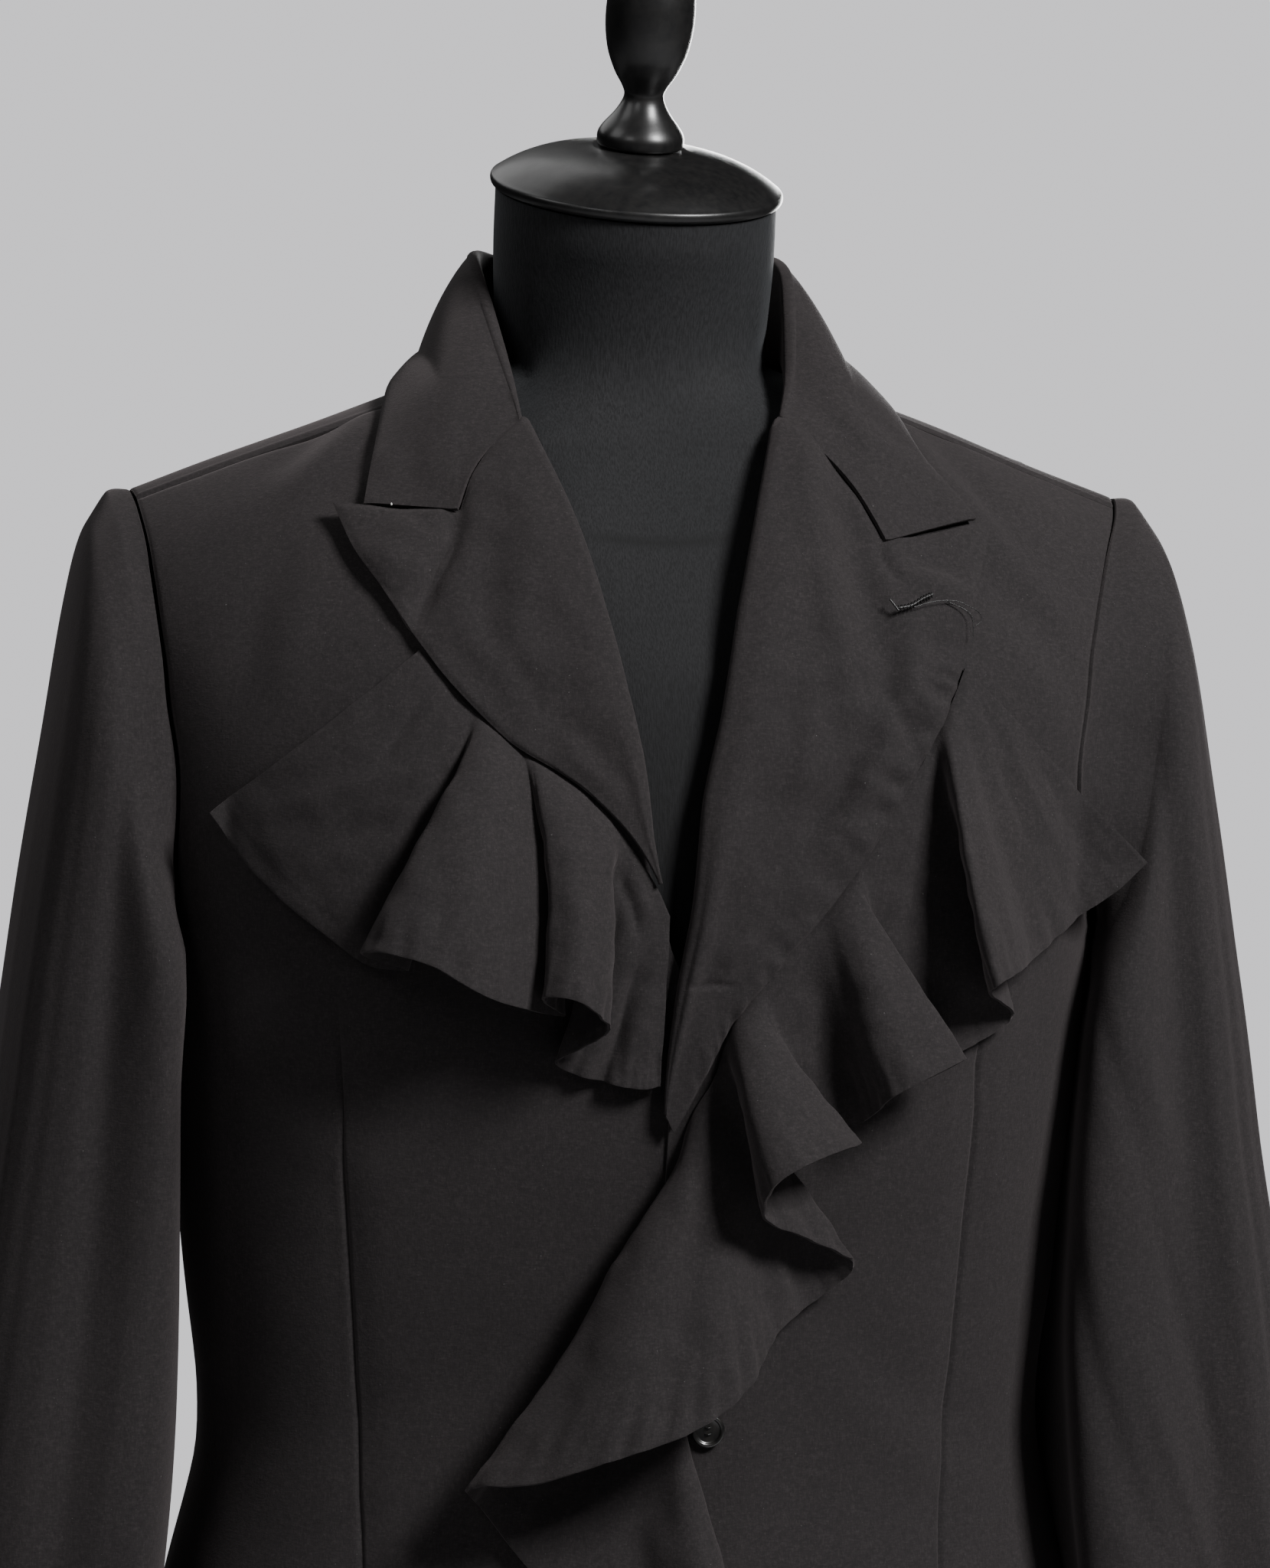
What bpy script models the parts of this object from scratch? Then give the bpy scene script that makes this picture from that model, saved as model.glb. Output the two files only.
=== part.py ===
"""Ruffle blazer on a limbless dress form with its stand.

Metres, +Z up, the front of the jacket faces -Y. The wearer's left is +X.
The origin is the middle of the underside of the stand's base.
"""

import math

import bmesh
import bpy
from mathutils import Matrix, Vector

# Cloth
PANEL_WALL = 0.0016
RUFFLE_WALL = 0.0012
SEAM_GAP = 0.0004
MERGE_DISTANCE = 0.00002
# The wearer's left front lies on the right one as far across as LAP_EDGE, up to LAP_TOP
LAP_RAISE = 0.0024
LAP_EDGE = 0.030
LAP_EDGE_FADE = 0.040
LAP_TOP = 1.235
LAP_TOP_FADE = 0.050
EDGE_INSET = 0.004
NECK_INSET = 0.020
NECK_INSET_SECTION = 8.4
RUFFLE_SEAM_OUT = 0.0013
CHEST_TURN = 0.185
FOLD_RISE = 0.7
LAPEL_OUT = 0.0050
LAPEL_ROLL = 0.0030
LAPEL_ROLL_LEAST = 0.35
LAPEL_ROLL_SHARE = 0.16
LAPEL_SHIFT = 0.0012
LAPEL_TAPER = 0.30
LAPEL_NOTCH_SHARE = 0.42
LAPEL_TOP_BEND = 5
COLLAR_OUT = 0.0040
COLLAR_STAND = 0.046
COLLAR_SEAT = 0.0003
COLLAR_BULGE = 0.0030
COLLAR_STAND_SHARE = 0.25
COLLAR_ROLL_SHARE = 0.16
COLLAR_STAND_LEAST = 0.0015
COLLAR_ROLL_INSIDE = 0.0020
COLLAR_ROLL_OUTSIDE = 0.0028
COLLAR_ROLL_DROP = 0.0020

# The torso that the jacket hangs round
SHOULDER_SLOPE = 0.38
NECK_SIDE = 0.060
NECK_SOFTNESS = 0.020
SIDE_SEAM_ANGLE = math.radians(97)
SIDE_TRIM = 0.0030
UNDERARM_SECTION = 6.0
SHOULDER_SEAM_SECTION = 10.40
SHOULDER_SEAM_SHARE = 0.024
RIDGE_SECTION = 11.0
BACK_NECK_RADIUS = 0.0675

# Columns and rows of the grids
PANEL_ROWS = 24
LOWER_ROWS = 12
FRONT_COLUMNS = 12
BACK_COLUMNS = 9
SLEEVE_GRID = (20, 14)
COLLAR_GRID = (28, 8)
LAPEL_GRID = (10, 18)
LEFT_RUFFLE_GRID = (88, 7)
RIGHT_RUFFLE_GRID = (44, 7)
FORM_COLUMNS = 28
CAP_SEGMENTS = 28
POLE_SEGMENTS = 20
BASE_SEGMENTS = 36
ARMHOLE_STEPS = 90
HALVINGS = 40

# Dress form and stand
FORM_CLEARANCE = 0.0065
SHOULDER_CLEARANCE = 0.0012
SHOULDER_EASE = 0.09
FORM_HEM = 0.755
NECK_BASE = Vector((0.0, 0.002, 1.452))
NECK_TOP = Vector((0.0, -0.012, 1.530))
NECK_RADIUS = 0.0625
CAP_TILT = math.radians(15)
CAP_LEAN = math.radians(1.5)
CAP_GAP = 0.0004
WOOD_GAP = 0.0003
POLE_RADIUS = 0.014
BASE_RADIUS = 0.190
BASE_HEIGHT = 0.055
BUTTON_RADIUS = 0.0075
BUTTON_THICKNESS = 0.0030

# level, half width, front depth, back depth, squareness, share of the shoulder slope
TORSO_SECTIONS = (
    (0.800, 0.219, 0.134, 0.128, 2.3, 0.00),
    (0.860, 0.213, 0.126, 0.122, 2.3, 0.00),
    (0.915, 0.204, 0.117, 0.113, 2.3, 0.00),
    (0.985, 0.1885, 0.108, 0.098, 2.3, 0.00),
    (1.060, 0.195, 0.112, 0.104, 2.3, 0.00),
    (1.130, 0.202, 0.120, 0.110, 2.4, 0.00),
    (1.210, 0.208, 0.128, 0.118, 2.5, 0.10),
    (1.300, 0.217, 0.124, 0.122, 2.6, 0.40),
    (1.372, 0.229, 0.104, 0.112, 2.6, 0.75),
    (1.422, 0.237, 0.074, 0.090, 2.5, 0.93),
    (1.449, 0.241, 0.040, 0.055, 2.4, 1.00),
    (1.460, 0.242, 0.000, 0.000, 2.4, 1.00),
)

# section, angle from the front, angle from the back, in degrees
ARMHOLE = (
    (6.00, 97.0, 83.0),
    (6.25, 70.0, 70.5),
    (6.60, 62.7, 66.0),
    (7.00, 59.1, 63.0),
    (7.50, 58.2, 62.0),
    (8.00, 57.0, 60.5),
    (9.00, 58.7, 60.5),
    (10.00, 61.6, 62.2),
    (11.00, 63.4, 63.4),
)

# height, how far outward from the middle the front's inner edge or roll line lies
LEFT_FRONT_EDGE = (
    (0.790, -0.003),
    (1.100, -0.003),
    (1.150, -0.002),
    (1.180, 0.002),
    (1.223, 0.010),
    (1.271, 0.015),
    (1.305, 0.023),
    (1.351, 0.032),
    (1.387, 0.041),
    (1.426, 0.053),
    (1.445, 0.066),
    (1.470, 0.082),
)
RIGHT_FRONT_EDGE = (
    (0.790, -0.024),
    (1.080, -0.024),
    (1.120, -0.022),
    (1.160, -0.016),
    (1.200, -0.004),
    (1.233, 0.007),
    (1.255, 0.013),
    (1.291, 0.019),
    (1.317, 0.025),
    (1.351, 0.033),
    (1.389, 0.044),
    (1.429, 0.059),
    (1.450, 0.070),
    (1.470, 0.082),
)

# outward, height along each lapel's outer edge, from its lowest end to the tip
LEFT_LAPEL_EDGE = (
    (-0.002, 1.125),
    (0.006, 1.138),
    (0.015, 1.156),
    (0.027, 1.179),
    (0.050, 1.206),
    (0.077, 1.238),
    (0.098, 1.270),
    (0.119, 1.305),
    (0.128, 1.326),
    (0.135, 1.356),
    (0.146, 1.385),
)
RIGHT_LAPEL_EDGE = (
    (0.004, 1.226),
    (0.018, 1.251),
    (0.033, 1.268),
    (0.051, 1.282),
    (0.072, 1.295),
    (0.094, 1.317),
    (0.107, 1.334),
    (0.120, 1.354),
    (0.132, 1.372),
    (0.139, 1.390),
)
# gorge's top end and the notch (across, height), share of the roll line left under the other front
LEFT_LAPEL_TOP = ((0.0535, 1.4270), (0.094, 1.377), 0.07)
RIGHT_LAPEL_TOP = ((0.0585, 1.4255), (0.088, 1.389), 0.15)

# roll edge across, y, height; notch across, height; corner across, height
LEFT_COLLAR_END = (0.0540, -0.0705, 1.4335, 0.0950, 1.3795, 0.1394, 1.3885)
RIGHT_COLLAR_END = (0.0590, -0.0710, 1.4335, 0.0885, 1.3915, 0.1262, 1.3935)
# roll edge across, y, height; middle across, section; outer edge across, section
# a section past the ridge counts down the back
COLLAR_STATIONS = (
    (0.0610, -0.0500, 1.4520, 0.086, 9.35, 0.1195, 9.45),
    (0.0660, -0.0240, 1.4810, 0.086, 10.10, 0.1130, 10.20),
    (0.0685, 0.0000, 1.5000, 0.086, 11.00, 0.1060, 11.00),
    (0.0640, 0.0270, 1.5060, 0.080, 12.00, 0.0960, 12.10),
    (0.0490, 0.0500, 1.5040, 0.062, 12.70, 0.0760, 12.90),
    (0.0260, 0.0650, 1.5020, 0.034, 12.85, 0.0420, 13.15),
    (0.0000, 0.0695, 1.5010, 0.000, 12.90, 0.0000, 13.25),
)

# outer profile across, height; inner profile across, height; front y, back y
SLEEVE_SECTIONS = (
    (0.2330, 1.3935, 0.2110, 1.1990, -0.066, 0.072),
    (0.2420, 1.3780, 0.2112, 1.1870, -0.071, 0.077),
    (0.2490, 1.3480, 0.2100, 1.1700, -0.074, 0.080),
    (0.2570, 1.3000, 0.2085, 1.1380, -0.074, 0.080),
    (0.2700, 1.2200, 0.2060, 1.0900, -0.074, 0.077),
    (0.2830, 1.1300, 0.2040, 1.0400, -0.075, 0.071),
    (0.2940, 1.0500, 0.2040, 0.9950, -0.079, 0.061),
    (0.3040, 0.9600, 0.2080, 0.9300, -0.084, 0.048),
    (0.3120, 0.8800, 0.2185, 0.8620, -0.088, 0.034),
    (0.3200, 0.8100, 0.2265, 0.8050, -0.090, 0.022),
)

# seam across, height: where each ruffle is sewn in, from its top end down
RIGHT_RUFFLE_SEAM = (
    (-0.107, 1.333),
    (-0.084, 1.306),
    (-0.051, 1.282),
    (-0.029, 1.263),
    (-0.011, 1.238),
    (-0.003, 1.222),
)
LEFT_RUFFLE_SEAM = (
    (0.129, 1.326),
    (0.119, 1.305),
    (0.098, 1.270),
    (0.074, 1.234),
    (0.050, 1.206),
    (0.027, 1.179),
    (0.018, 1.154),
    (0.006, 1.127),
    (0.004, 1.080),
    (0.004, 0.950),
    (0.004, 0.812),
)

# a row for each fold: share of the seam, hem across, hem height, stand-off from the chest (mm)
RIGHT_RUFFLE_FOLDS = (
    (0.000, -193, 1263, 4),
    (0.060, -171, 1234, 6),
    (0.150, -141, 1209, 7),
    (0.195, -129, 1201, 7),
    (0.225, -119, 1200, 9),
    (0.252, -132, 1207, 22),
    (0.280, -128, 1210, 29),
    (0.310, -109, 1205, 33),
    (0.335, -85, 1192, 31),
    (0.355, -65, 1185, 23),
    (0.375, -53, 1181, 14),
    (0.400, -47, 1190, 24),
    (0.430, -46, 1194, 31),
    (0.540, -40, 1191, 36),
    (0.670, -31, 1185, 29),
    (0.705, -31, 1177, 20),
    (0.735, -42, 1167, 13),
    (0.758, -51, 1161, 9),
    (0.785, -44, 1156, 5),
    (0.830, -27, 1151, 5),
    (0.900, -14, 1149, 5),
    (1.000, -6, 1150, 5),
)
LEFT_RUFFLE_FOLDS = (
    (0.000, 216, 1241, 8),
    (0.009, 200, 1225, 8),
    (0.018, 180, 1213, 8),
    (0.028, 161, 1200, 9),
    (0.038, 147, 1198, 22),
    (0.048, 136, 1194, 25),
    (0.058, 137, 1189, 18),
    (0.070, 153, 1176, 8),
    (0.090, 143, 1160, 5),
    (0.130, 120, 1151, 6),
    (0.166, 99, 1144, 7),
    (0.180, 104, 1148, 13),
    (0.192, 125, 1161, 22),
    (0.203, 104, 1154, 30),
    (0.214, 90, 1146, 27),
    (0.228, 85, 1137, 16),
    (0.252, 79, 1131, 7),
    (0.288, 64, 1127, 8),
    (0.302, 66, 1127, 15),
    (0.314, 78, 1127, 25),
    (0.326, 58, 1123, 34),
    (0.336, 39, 1113, 32),
    (0.345, 37, 1097, 23),
    (0.355, 58, 1085, 18),
    (0.366, 80, 1072, 13),
    (0.378, 67, 1057, 6),
    (0.388, 46, 1044, 14),
    (0.398, 32, 1024, 23),
    (0.408, 9, 1009, 31),
    (0.422, -24, 998, 34),
    (0.436, -60, 986, 32),
    (0.450, -84, 981, 22),
    (0.468, -76, 967, 12),
    (0.510, -52, 936, 10),
    (0.560, -22, 914, 16),
    (0.600, 6, 902, 27),
    (0.640, 32, 894, 27),
    (0.675, 44, 884, 20),
    (0.710, 38, 872, 9),
    (0.770, 26, 858, 6),
    (0.840, 24, 846, 12),
    (0.900, 20, 838, 17),
    (0.950, 15, 830, 10),
    (1.000, 9, 818, 5),
)

BUTTON_HEIGHT = 1.000
BUTTON_ACROSS = 0.019

# share of the way up, radius: turned profiles
FINIAL_PROFILE = (
    (0.000, 0.0190),
    (0.050, 0.0190),
    (0.085, 0.0172),
    (0.150, 0.0120),
    (0.215, 0.0088),
    (0.260, 0.0098),
    (0.330, 0.0140),
    (0.430, 0.0178),
    (0.560, 0.0195),
    (0.700, 0.0186),
    (0.840, 0.0148),
    (0.940, 0.0088),
    (1.000, 0.0000),
)
FINIAL_HEIGHT = 0.100
# height, radius
CAP_PROFILE = (
    (0.0000, 0.0600),
    (0.0008, 0.0635),
    (0.0034, 0.0645),
    (0.0060, 0.0630),
    (0.0120, 0.0540),
    (0.0175, 0.0400),
    (0.0205, 0.0250),
    (0.0212, 0.0000),
)
BASE_PROFILE = (
    (0.000, BASE_RADIUS),
    (0.008, BASE_RADIUS),
    (0.014, 0.184),
    (0.017, 0.172),
    (0.022, 0.120),
    (0.028, 0.060),
    (0.036, 0.034),
    (0.048, 0.026),
    (BASE_HEIGHT, 0.022),
)
# height, share of the full width, share of the full depth
FORM_RINGS = (
    (FORM_HEM, 0.86, 0.84),
    (0.762, 0.94, 0.93),
    (0.785, 0.985, 0.98),
    (0.860, 1.0, 1.0),
    (0.915, 1.0, 1.0),
    (0.950, 1.0, 1.0),
    (0.985, 1.0, 1.0),
    (1.020, 1.0, 1.0),
    (1.060, 1.0, 1.0),
    (1.130, 0.99, 1.0),
    (1.195, 0.965, 1.0),
    (1.235, 0.950, 1.0),
    (1.280, 0.945, 1.0),
    (1.330, 0.945, 0.99),
    (1.385, 0.945, 0.985),
    (1.415, 0.945, 0.98),
)
# half width, depth in front, depth behind
SHOULDER_RINGS = (
    (0.190, 0.070, 0.084),
    (0.150, 0.067, 0.081),
    (0.112, 0.064, 0.078),
    (0.067, 0.058, 0.0600),
)
# share of the way up the neck, share of its radius
NECK_RINGS = (
    (0.10, 0.95),
    (0.30, 0.965),
    (0.65, 0.99),
    (1.00, 0.99),
)

BLACK_CLOTH = ("black wool", (0.030, 0.027, 0.027, 1.0), 0.90)
BLACK_JERSEY = ("black jersey", (0.020, 0.021, 0.023, 1.0), 0.80)
BLACK_LACQUER = ("black lacquer", (0.006, 0.006, 0.006, 1.0), 0.18)
DARK_HORN = ("dark button", (0.030, 0.028, 0.026, 1.0), 0.30)


def clear_scene():
    for old in list(bpy.data.objects):
        bpy.data.objects.remove(old, do_unlink=True)


def make_material(finish):
    name, colour, roughness = finish
    material = bpy.data.materials.get(name) or bpy.data.materials.new(name)
    material.use_nodes = True
    shader = material.node_tree.nodes["Principled BSDF"]
    shader.inputs["Base Color"].default_value = colour
    shader.inputs["Roughness"].default_value = roughness
    shader.inputs["Metallic"].default_value = 0.0
    return material


def smoothstep(value):
    value = min(max(value, 0.0), 1.0)
    return value * value * (3.0 - 2.0 * value)


def hermite(start, end, start_slope, end_slope, share):
    square = share * share
    cube = square * share
    return ((2 * cube - 3 * square + 1) * start + (cube - 2 * square + share) * start_slope
            + (3 * square - 2 * cube) * end + (cube - square) * end_slope)


def blend_rows(rows, position, mirror_end=None):
    """Columns of a table at a position between its rows, on a smooth curve."""
    last = len(rows) - 1
    position = min(max(position, 0.0), float(last))
    index = min(int(position), last - 1)
    share = position - index
    here, after = rows[index], rows[index + 1]
    before = rows[index - 1] if index > 0 else None
    beyond = rows[index + 2] if index + 2 <= last else mirror_end
    values = []
    for column in range(len(here)):
        rise = after[column] - here[column]
        start_slope = (after[column] - before[column]) / 2 if before else rise
        end_slope = (beyond[column] - here[column]) / 2 if beyond else rise
        values.append(hermite(here[column], after[column], start_slope, end_slope, share))
    return values


def row_position(rows, column, value):
    """Where a rising column reaches a value, counted in rows."""
    for index in range(len(rows) - 1):
        start, end = rows[index][column], rows[index + 1][column]
        if value <= end:
            return index + min(max((value - start) / (end - start), 0.0), 1.0)
    return len(rows) - 1.0


# Past the ridge the section runs on down the back, so its last row is mirrored there
RIDGE_MIRROR = TORSO_SECTIONS[-2][:2] + tuple(-d for d in TORSO_SECTIONS[-2][2:4]) + TORSO_SECTIONS[-2][4:]


def torso_section(section):
    return blend_rows(TORSO_SECTIONS, section, RIDGE_MIRROR)


def shoulder_drop(across):
    return SHOULDER_SLOPE * (math.hypot(across, NECK_SOFTNESS) - NECK_SIDE)


def torso_ring(section, angle):
    """A point of the jacket's body. The angle runs from the front middle towards +X."""
    level, half_width, front, back, square, slope = torso_section(section)
    sine, cosine = math.sin(angle), math.cos(angle)
    across = half_width * math.copysign(abs(sine) ** (2 / square), sine)
    depth = abs(cosine) ** (2 / square)
    y = -front * depth if cosine >= 0 else back * depth
    return Vector((across, y, level - slope * shoulder_drop(across)))


def torso_normal(section, angle):
    step = 0.004
    low, high = max(section - step, 0.0), min(section + step, RIDGE_SECTION)
    around = torso_ring(section, angle + step) - torso_ring(section, angle - step)
    upward = torso_ring(high, angle) - torso_ring(low, angle)
    return around.cross(upward).normalized()


def torso_point(section, angle, out=0.0):
    """A section past the ridge crosses over to the other side of the shoulder."""
    if section > RIDGE_SECTION:
        section = 2 * RIDGE_SECTION - section
        angle = math.copysign(math.pi, angle) - angle
    return torso_ring(section, angle) + torso_normal(section, angle) * out


def angle_for(section, across):
    half_width, square = torso_section(section)[1], torso_section(section)[4]
    share = min(abs(across) / half_width, 1.0) ** (square / 2)
    return math.copysign(math.asin(share), across)


def section_for(across, height):
    low, high = 0.0, RIDGE_SECTION
    for _ in range(HALVINGS):
        middle = (low + high) / 2
        values = torso_section(middle)
        if values[0] - values[5] * shoulder_drop(across) < height:
            low = middle
        else:
            high = middle
    return low


def front_point(across, height, out=0.0):
    section = section_for(across, height)
    return torso_point(section, angle_for(section, across), out)


def edge_across(rows, height):
    return blend_rows(rows, row_position(rows, 0, height))[1]


def edge_angle(rows, section):
    across = 0.02
    level, slope = torso_section(section)[0], torso_section(section)[5]
    for _ in range(12):
        across = edge_across(rows, level - slope * shoulder_drop(across))
    return angle_for(section, across)


def armhole_angle(section, column):
    return math.radians(blend_rows(ARMHOLE, row_position(ARMHOLE, 0, section))[column])


def lap_raise(across, height):
    """The wearer's left front lies on the right one near the middle."""
    beside = 1.0 - smoothstep((across - LAP_EDGE) / LAP_EDGE_FADE)
    below = 1.0 - smoothstep((height - LAP_TOP) / LAP_TOP_FADE)
    return LAP_RAISE * beside * below


def add_object(name, bm, finish):
    mesh = bpy.data.meshes.new(name)
    bm.to_mesh(mesh)
    bm.free()
    mesh.shade_smooth()
    piece = bpy.data.objects.new(name, mesh)
    bpy.context.scene.collection.objects.link(piece)
    mesh.materials.append(make_material(finish))
    return piece


def make_cloth(name, columns, rows, place, wall, offset=-1.0, tube=False):
    """A wall of cloth on a grid. The columns run so that the grid's face looks out."""
    bm = bmesh.new()
    bmesh.ops.create_grid(bm, x_segments=columns, y_segments=rows, size=0.5)
    for vertex in bm.verts:
        vertex.co = place(vertex.co.x + 0.5, vertex.co.y + 0.5)
    if tube:
        bmesh.ops.remove_doubles(bm, verts=bm.verts, dist=MERGE_DISTANCE)
    piece = add_object(name, bm, BLACK_CLOTH)
    solidify = piece.modifiers.new("Wall", "SOLIDIFY")
    solidify.thickness = wall
    solidify.offset = offset
    solidify.use_even_offset = False
    return piece


def mirrored(point, side):
    return Vector((point.x * side, point.y, point.z))


def panel_section(row, top):
    """The lower rows are the same on every panel, so that the side seams match."""
    steps = row * PANEL_ROWS
    if steps <= LOWER_ROWS:
        return UNDERARM_SECTION * steps / LOWER_ROWS
    return UNDERARM_SECTION + (top - UNDERARM_SECTION) * (steps - LOWER_ROWS) / (PANEL_ROWS - LOWER_ROWS)


def front_panel(side_name, side, edge_rows, lap):
    def place(column, row):
        share = column if side > 0 else 1.0 - column
        section = panel_section(row, SHOULDER_SEAM_SECTION)
        inner = edge_angle(edge_rows, section) + EDGE_INSET + NECK_INSET * smoothstep(section - NECK_INSET_SECTION)
        trim = SEAM_GAP / 2 / torso_section(section)[1]
        if section > UNDERARM_SECTION:
            outer = armhole_angle(section, 1) - trim
        else:
            outer = SIDE_SEAM_ANGLE - SIDE_TRIM
        angle = inner + (outer - inner) * share
        flat = torso_point(section, angle)
        out = lap_raise(flat.x, flat.z) if lap else 0.0
        return mirrored(torso_point(section, angle, out), side)

    make_cloth("front_" + side_name, FRONT_COLUMNS, PANEL_ROWS, place, PANEL_WALL)


def back_panel(side_name, side):
    """From the hem up over the shoulder ridge to the seam just in front of it."""
    def place(column, row):
        share = column if side < 0 else 1.0 - column
        top = 2 * RIDGE_SECTION - SHOULDER_SEAM_SECTION - SHOULDER_SEAM_SHARE
        section = panel_section(row, top)
        trim = SEAM_GAP / 2 / torso_section(min(section, RIDGE_SECTION))[1]
        if section > RIDGE_SECTION:
            outer = armhole_angle(2 * RIDGE_SECTION - section, 1)
        elif section > UNDERARM_SECTION:
            outer = armhole_angle(section, 2)
        else:
            outer = math.pi - SIDE_SEAM_ANGLE - SIDE_TRIM
        folded = min(section, 2 * RIDGE_SECTION - section)
        opening = BACK_NECK_RADIUS ** 2 - torso_section(folded)[3] ** 2
        inner = max(trim, angle_for(folded, math.sqrt(max(opening, 0.0))))
        if section > RIDGE_SECTION:
            inner = max(inner, edge_angle(RIGHT_FRONT_EDGE, 2 * RIDGE_SECTION - section))
        angle = inner + (outer - trim - inner) * share
        if section > RIDGE_SECTION:
            return mirrored(torso_point(2 * RIDGE_SECTION - section, angle), side)
        return mirrored(torso_point(section, math.pi - angle), side)

    make_cloth("back_" + side_name, BACK_COLUMNS, PANEL_ROWS, place, PANEL_WALL)


def armhole_loop(count, outward):
    """Evenly spaced points of the armhole, from the ridge down the front and up the back."""
    fine = []
    for step in range(ARMHOLE_STEPS):
        section = RIDGE_SECTION - (RIDGE_SECTION - UNDERARM_SECTION) * step / ARMHOLE_STEPS
        fine.append(torso_ring(section, armhole_angle(section, 1)))
    for step in range(ARMHOLE_STEPS):
        section = UNDERARM_SECTION + (RIDGE_SECTION - UNDERARM_SECTION) * step / ARMHOLE_STEPS
        fine.append(torso_ring(section, math.pi - armhole_angle(section, 2)))
    fine.append(fine[0].copy())
    lengths = [0.0]
    for start, end in zip(fine, fine[1:]):
        lengths.append(lengths[-1] + (end - start).length)
    loop = []
    index = 0
    for number in range(count):
        target = lengths[-1] * number / count
        while lengths[index + 1] < target:
            index += 1
        share = (target - lengths[index]) / (lengths[index + 1] - lengths[index])
        loop.append(fine[index].lerp(fine[index + 1], share) + Vector((outward, 0, 0)))
    return loop


def sleeve_ring(position, turn):
    """Turn runs from the outer side over the front to the inner side and back."""
    row = blend_rows(SLEEVE_SECTIONS, position)
    outer, inner = Vector((row[0], 0, row[1])), Vector((row[2], 0, row[3]))
    middle = (outer + inner) / 2
    half = (outer - inner) / 2
    front, back = row[4], row[5]
    y = (front + back) / 2 + math.sin(turn) * (front - back) / 2
    return middle + half * math.cos(turn) + Vector((0, y, 0))


def sleeve(side_name, side):
    columns, rows = SLEEVE_GRID
    loop = armhole_loop(columns, SEAM_GAP + PANEL_WALL / 2)
    last = len(SLEEVE_SECTIONS) - 1.0

    def place(column, row):
        share = column if side > 0 else 1.0 - column
        index = round(share * columns) % columns
        turn = 2 * math.pi * index / columns
        if row * rows < 0.5:
            return mirrored(loop[index], side)
        position = (row * rows - 1) / (rows - 1) * last
        return mirrored(sleeve_ring(position, turn), side)

    make_cloth("sleeve_" + side_name, columns, rows, place, PANEL_WALL, tube=True)


def lapel(side_name, side, edge_rows, outer_rows, top_rows, lap):
    """Folded back from the roll line, with its top edge along the gorge to the tip."""
    gorge_top, notch, start = top_rows
    bottom = outer_rows[0]
    last = len(outer_rows) - 1.0

    def roll_line(row):
        height = bottom[1] + (gorge_top[1] - bottom[1]) * row
        return Vector((edge_across(edge_rows, height), height))

    def flat_point(share, row):
        """Across and height on the lapel, with the top row bent down to the notch."""
        inner = roll_line(row)
        outer = Vector(blend_rows(outer_rows, row * last))
        top_inner, top_outer = roll_line(1.0), Vector(outer_rows[-1])
        corner = Vector(notch)
        if share < LAPEL_NOTCH_SHARE:
            top = top_inner.lerp(corner, share / LAPEL_NOTCH_SHARE)
        else:
            top = corner.lerp(top_outer, (share - LAPEL_NOTCH_SHARE) / (1 - LAPEL_NOTCH_SHARE))
        sag = top - top_inner.lerp(top_outer, share)
        return inner.lerp(outer, share) + sag * row ** LAPEL_TOP_BEND

    def place(column, row):
        share = column if side > 0 else 1.0 - column
        row = start + row * (1.0 - start)
        narrow = smoothstep(row / LAPEL_TAPER)
        if share < LAPEL_ROLL_SHARE:
            turn = math.pi * (1.0 - share / LAPEL_ROLL_SHARE)
            flat = flat_point(0.0, row)
            inward = LAPEL_ROLL * math.sin(turn) * (LAPEL_ROLL_LEAST + (1.0 - LAPEL_ROLL_LEAST) * narrow)
            lift = (1.0 + math.cos(turn)) / 2
            out = -PANEL_WALL / 2 + (LAPEL_OUT + PANEL_WALL / 2) * lift
        else:
            flat = flat_point((share - LAPEL_ROLL_SHARE) / (1.0 - LAPEL_ROLL_SHARE), row)
            inward = 0.0
            out = LAPEL_OUT
        if lap:
            out += lap_raise(flat.x, flat.y)
        point = front_point(flat.x, flat.y, out)
        point.x -= inward + LAPEL_SHIFT
        return mirrored(point, side)

    make_cloth("lapel_" + side_name, *LAPEL_GRID, place, PANEL_WALL)


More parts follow.
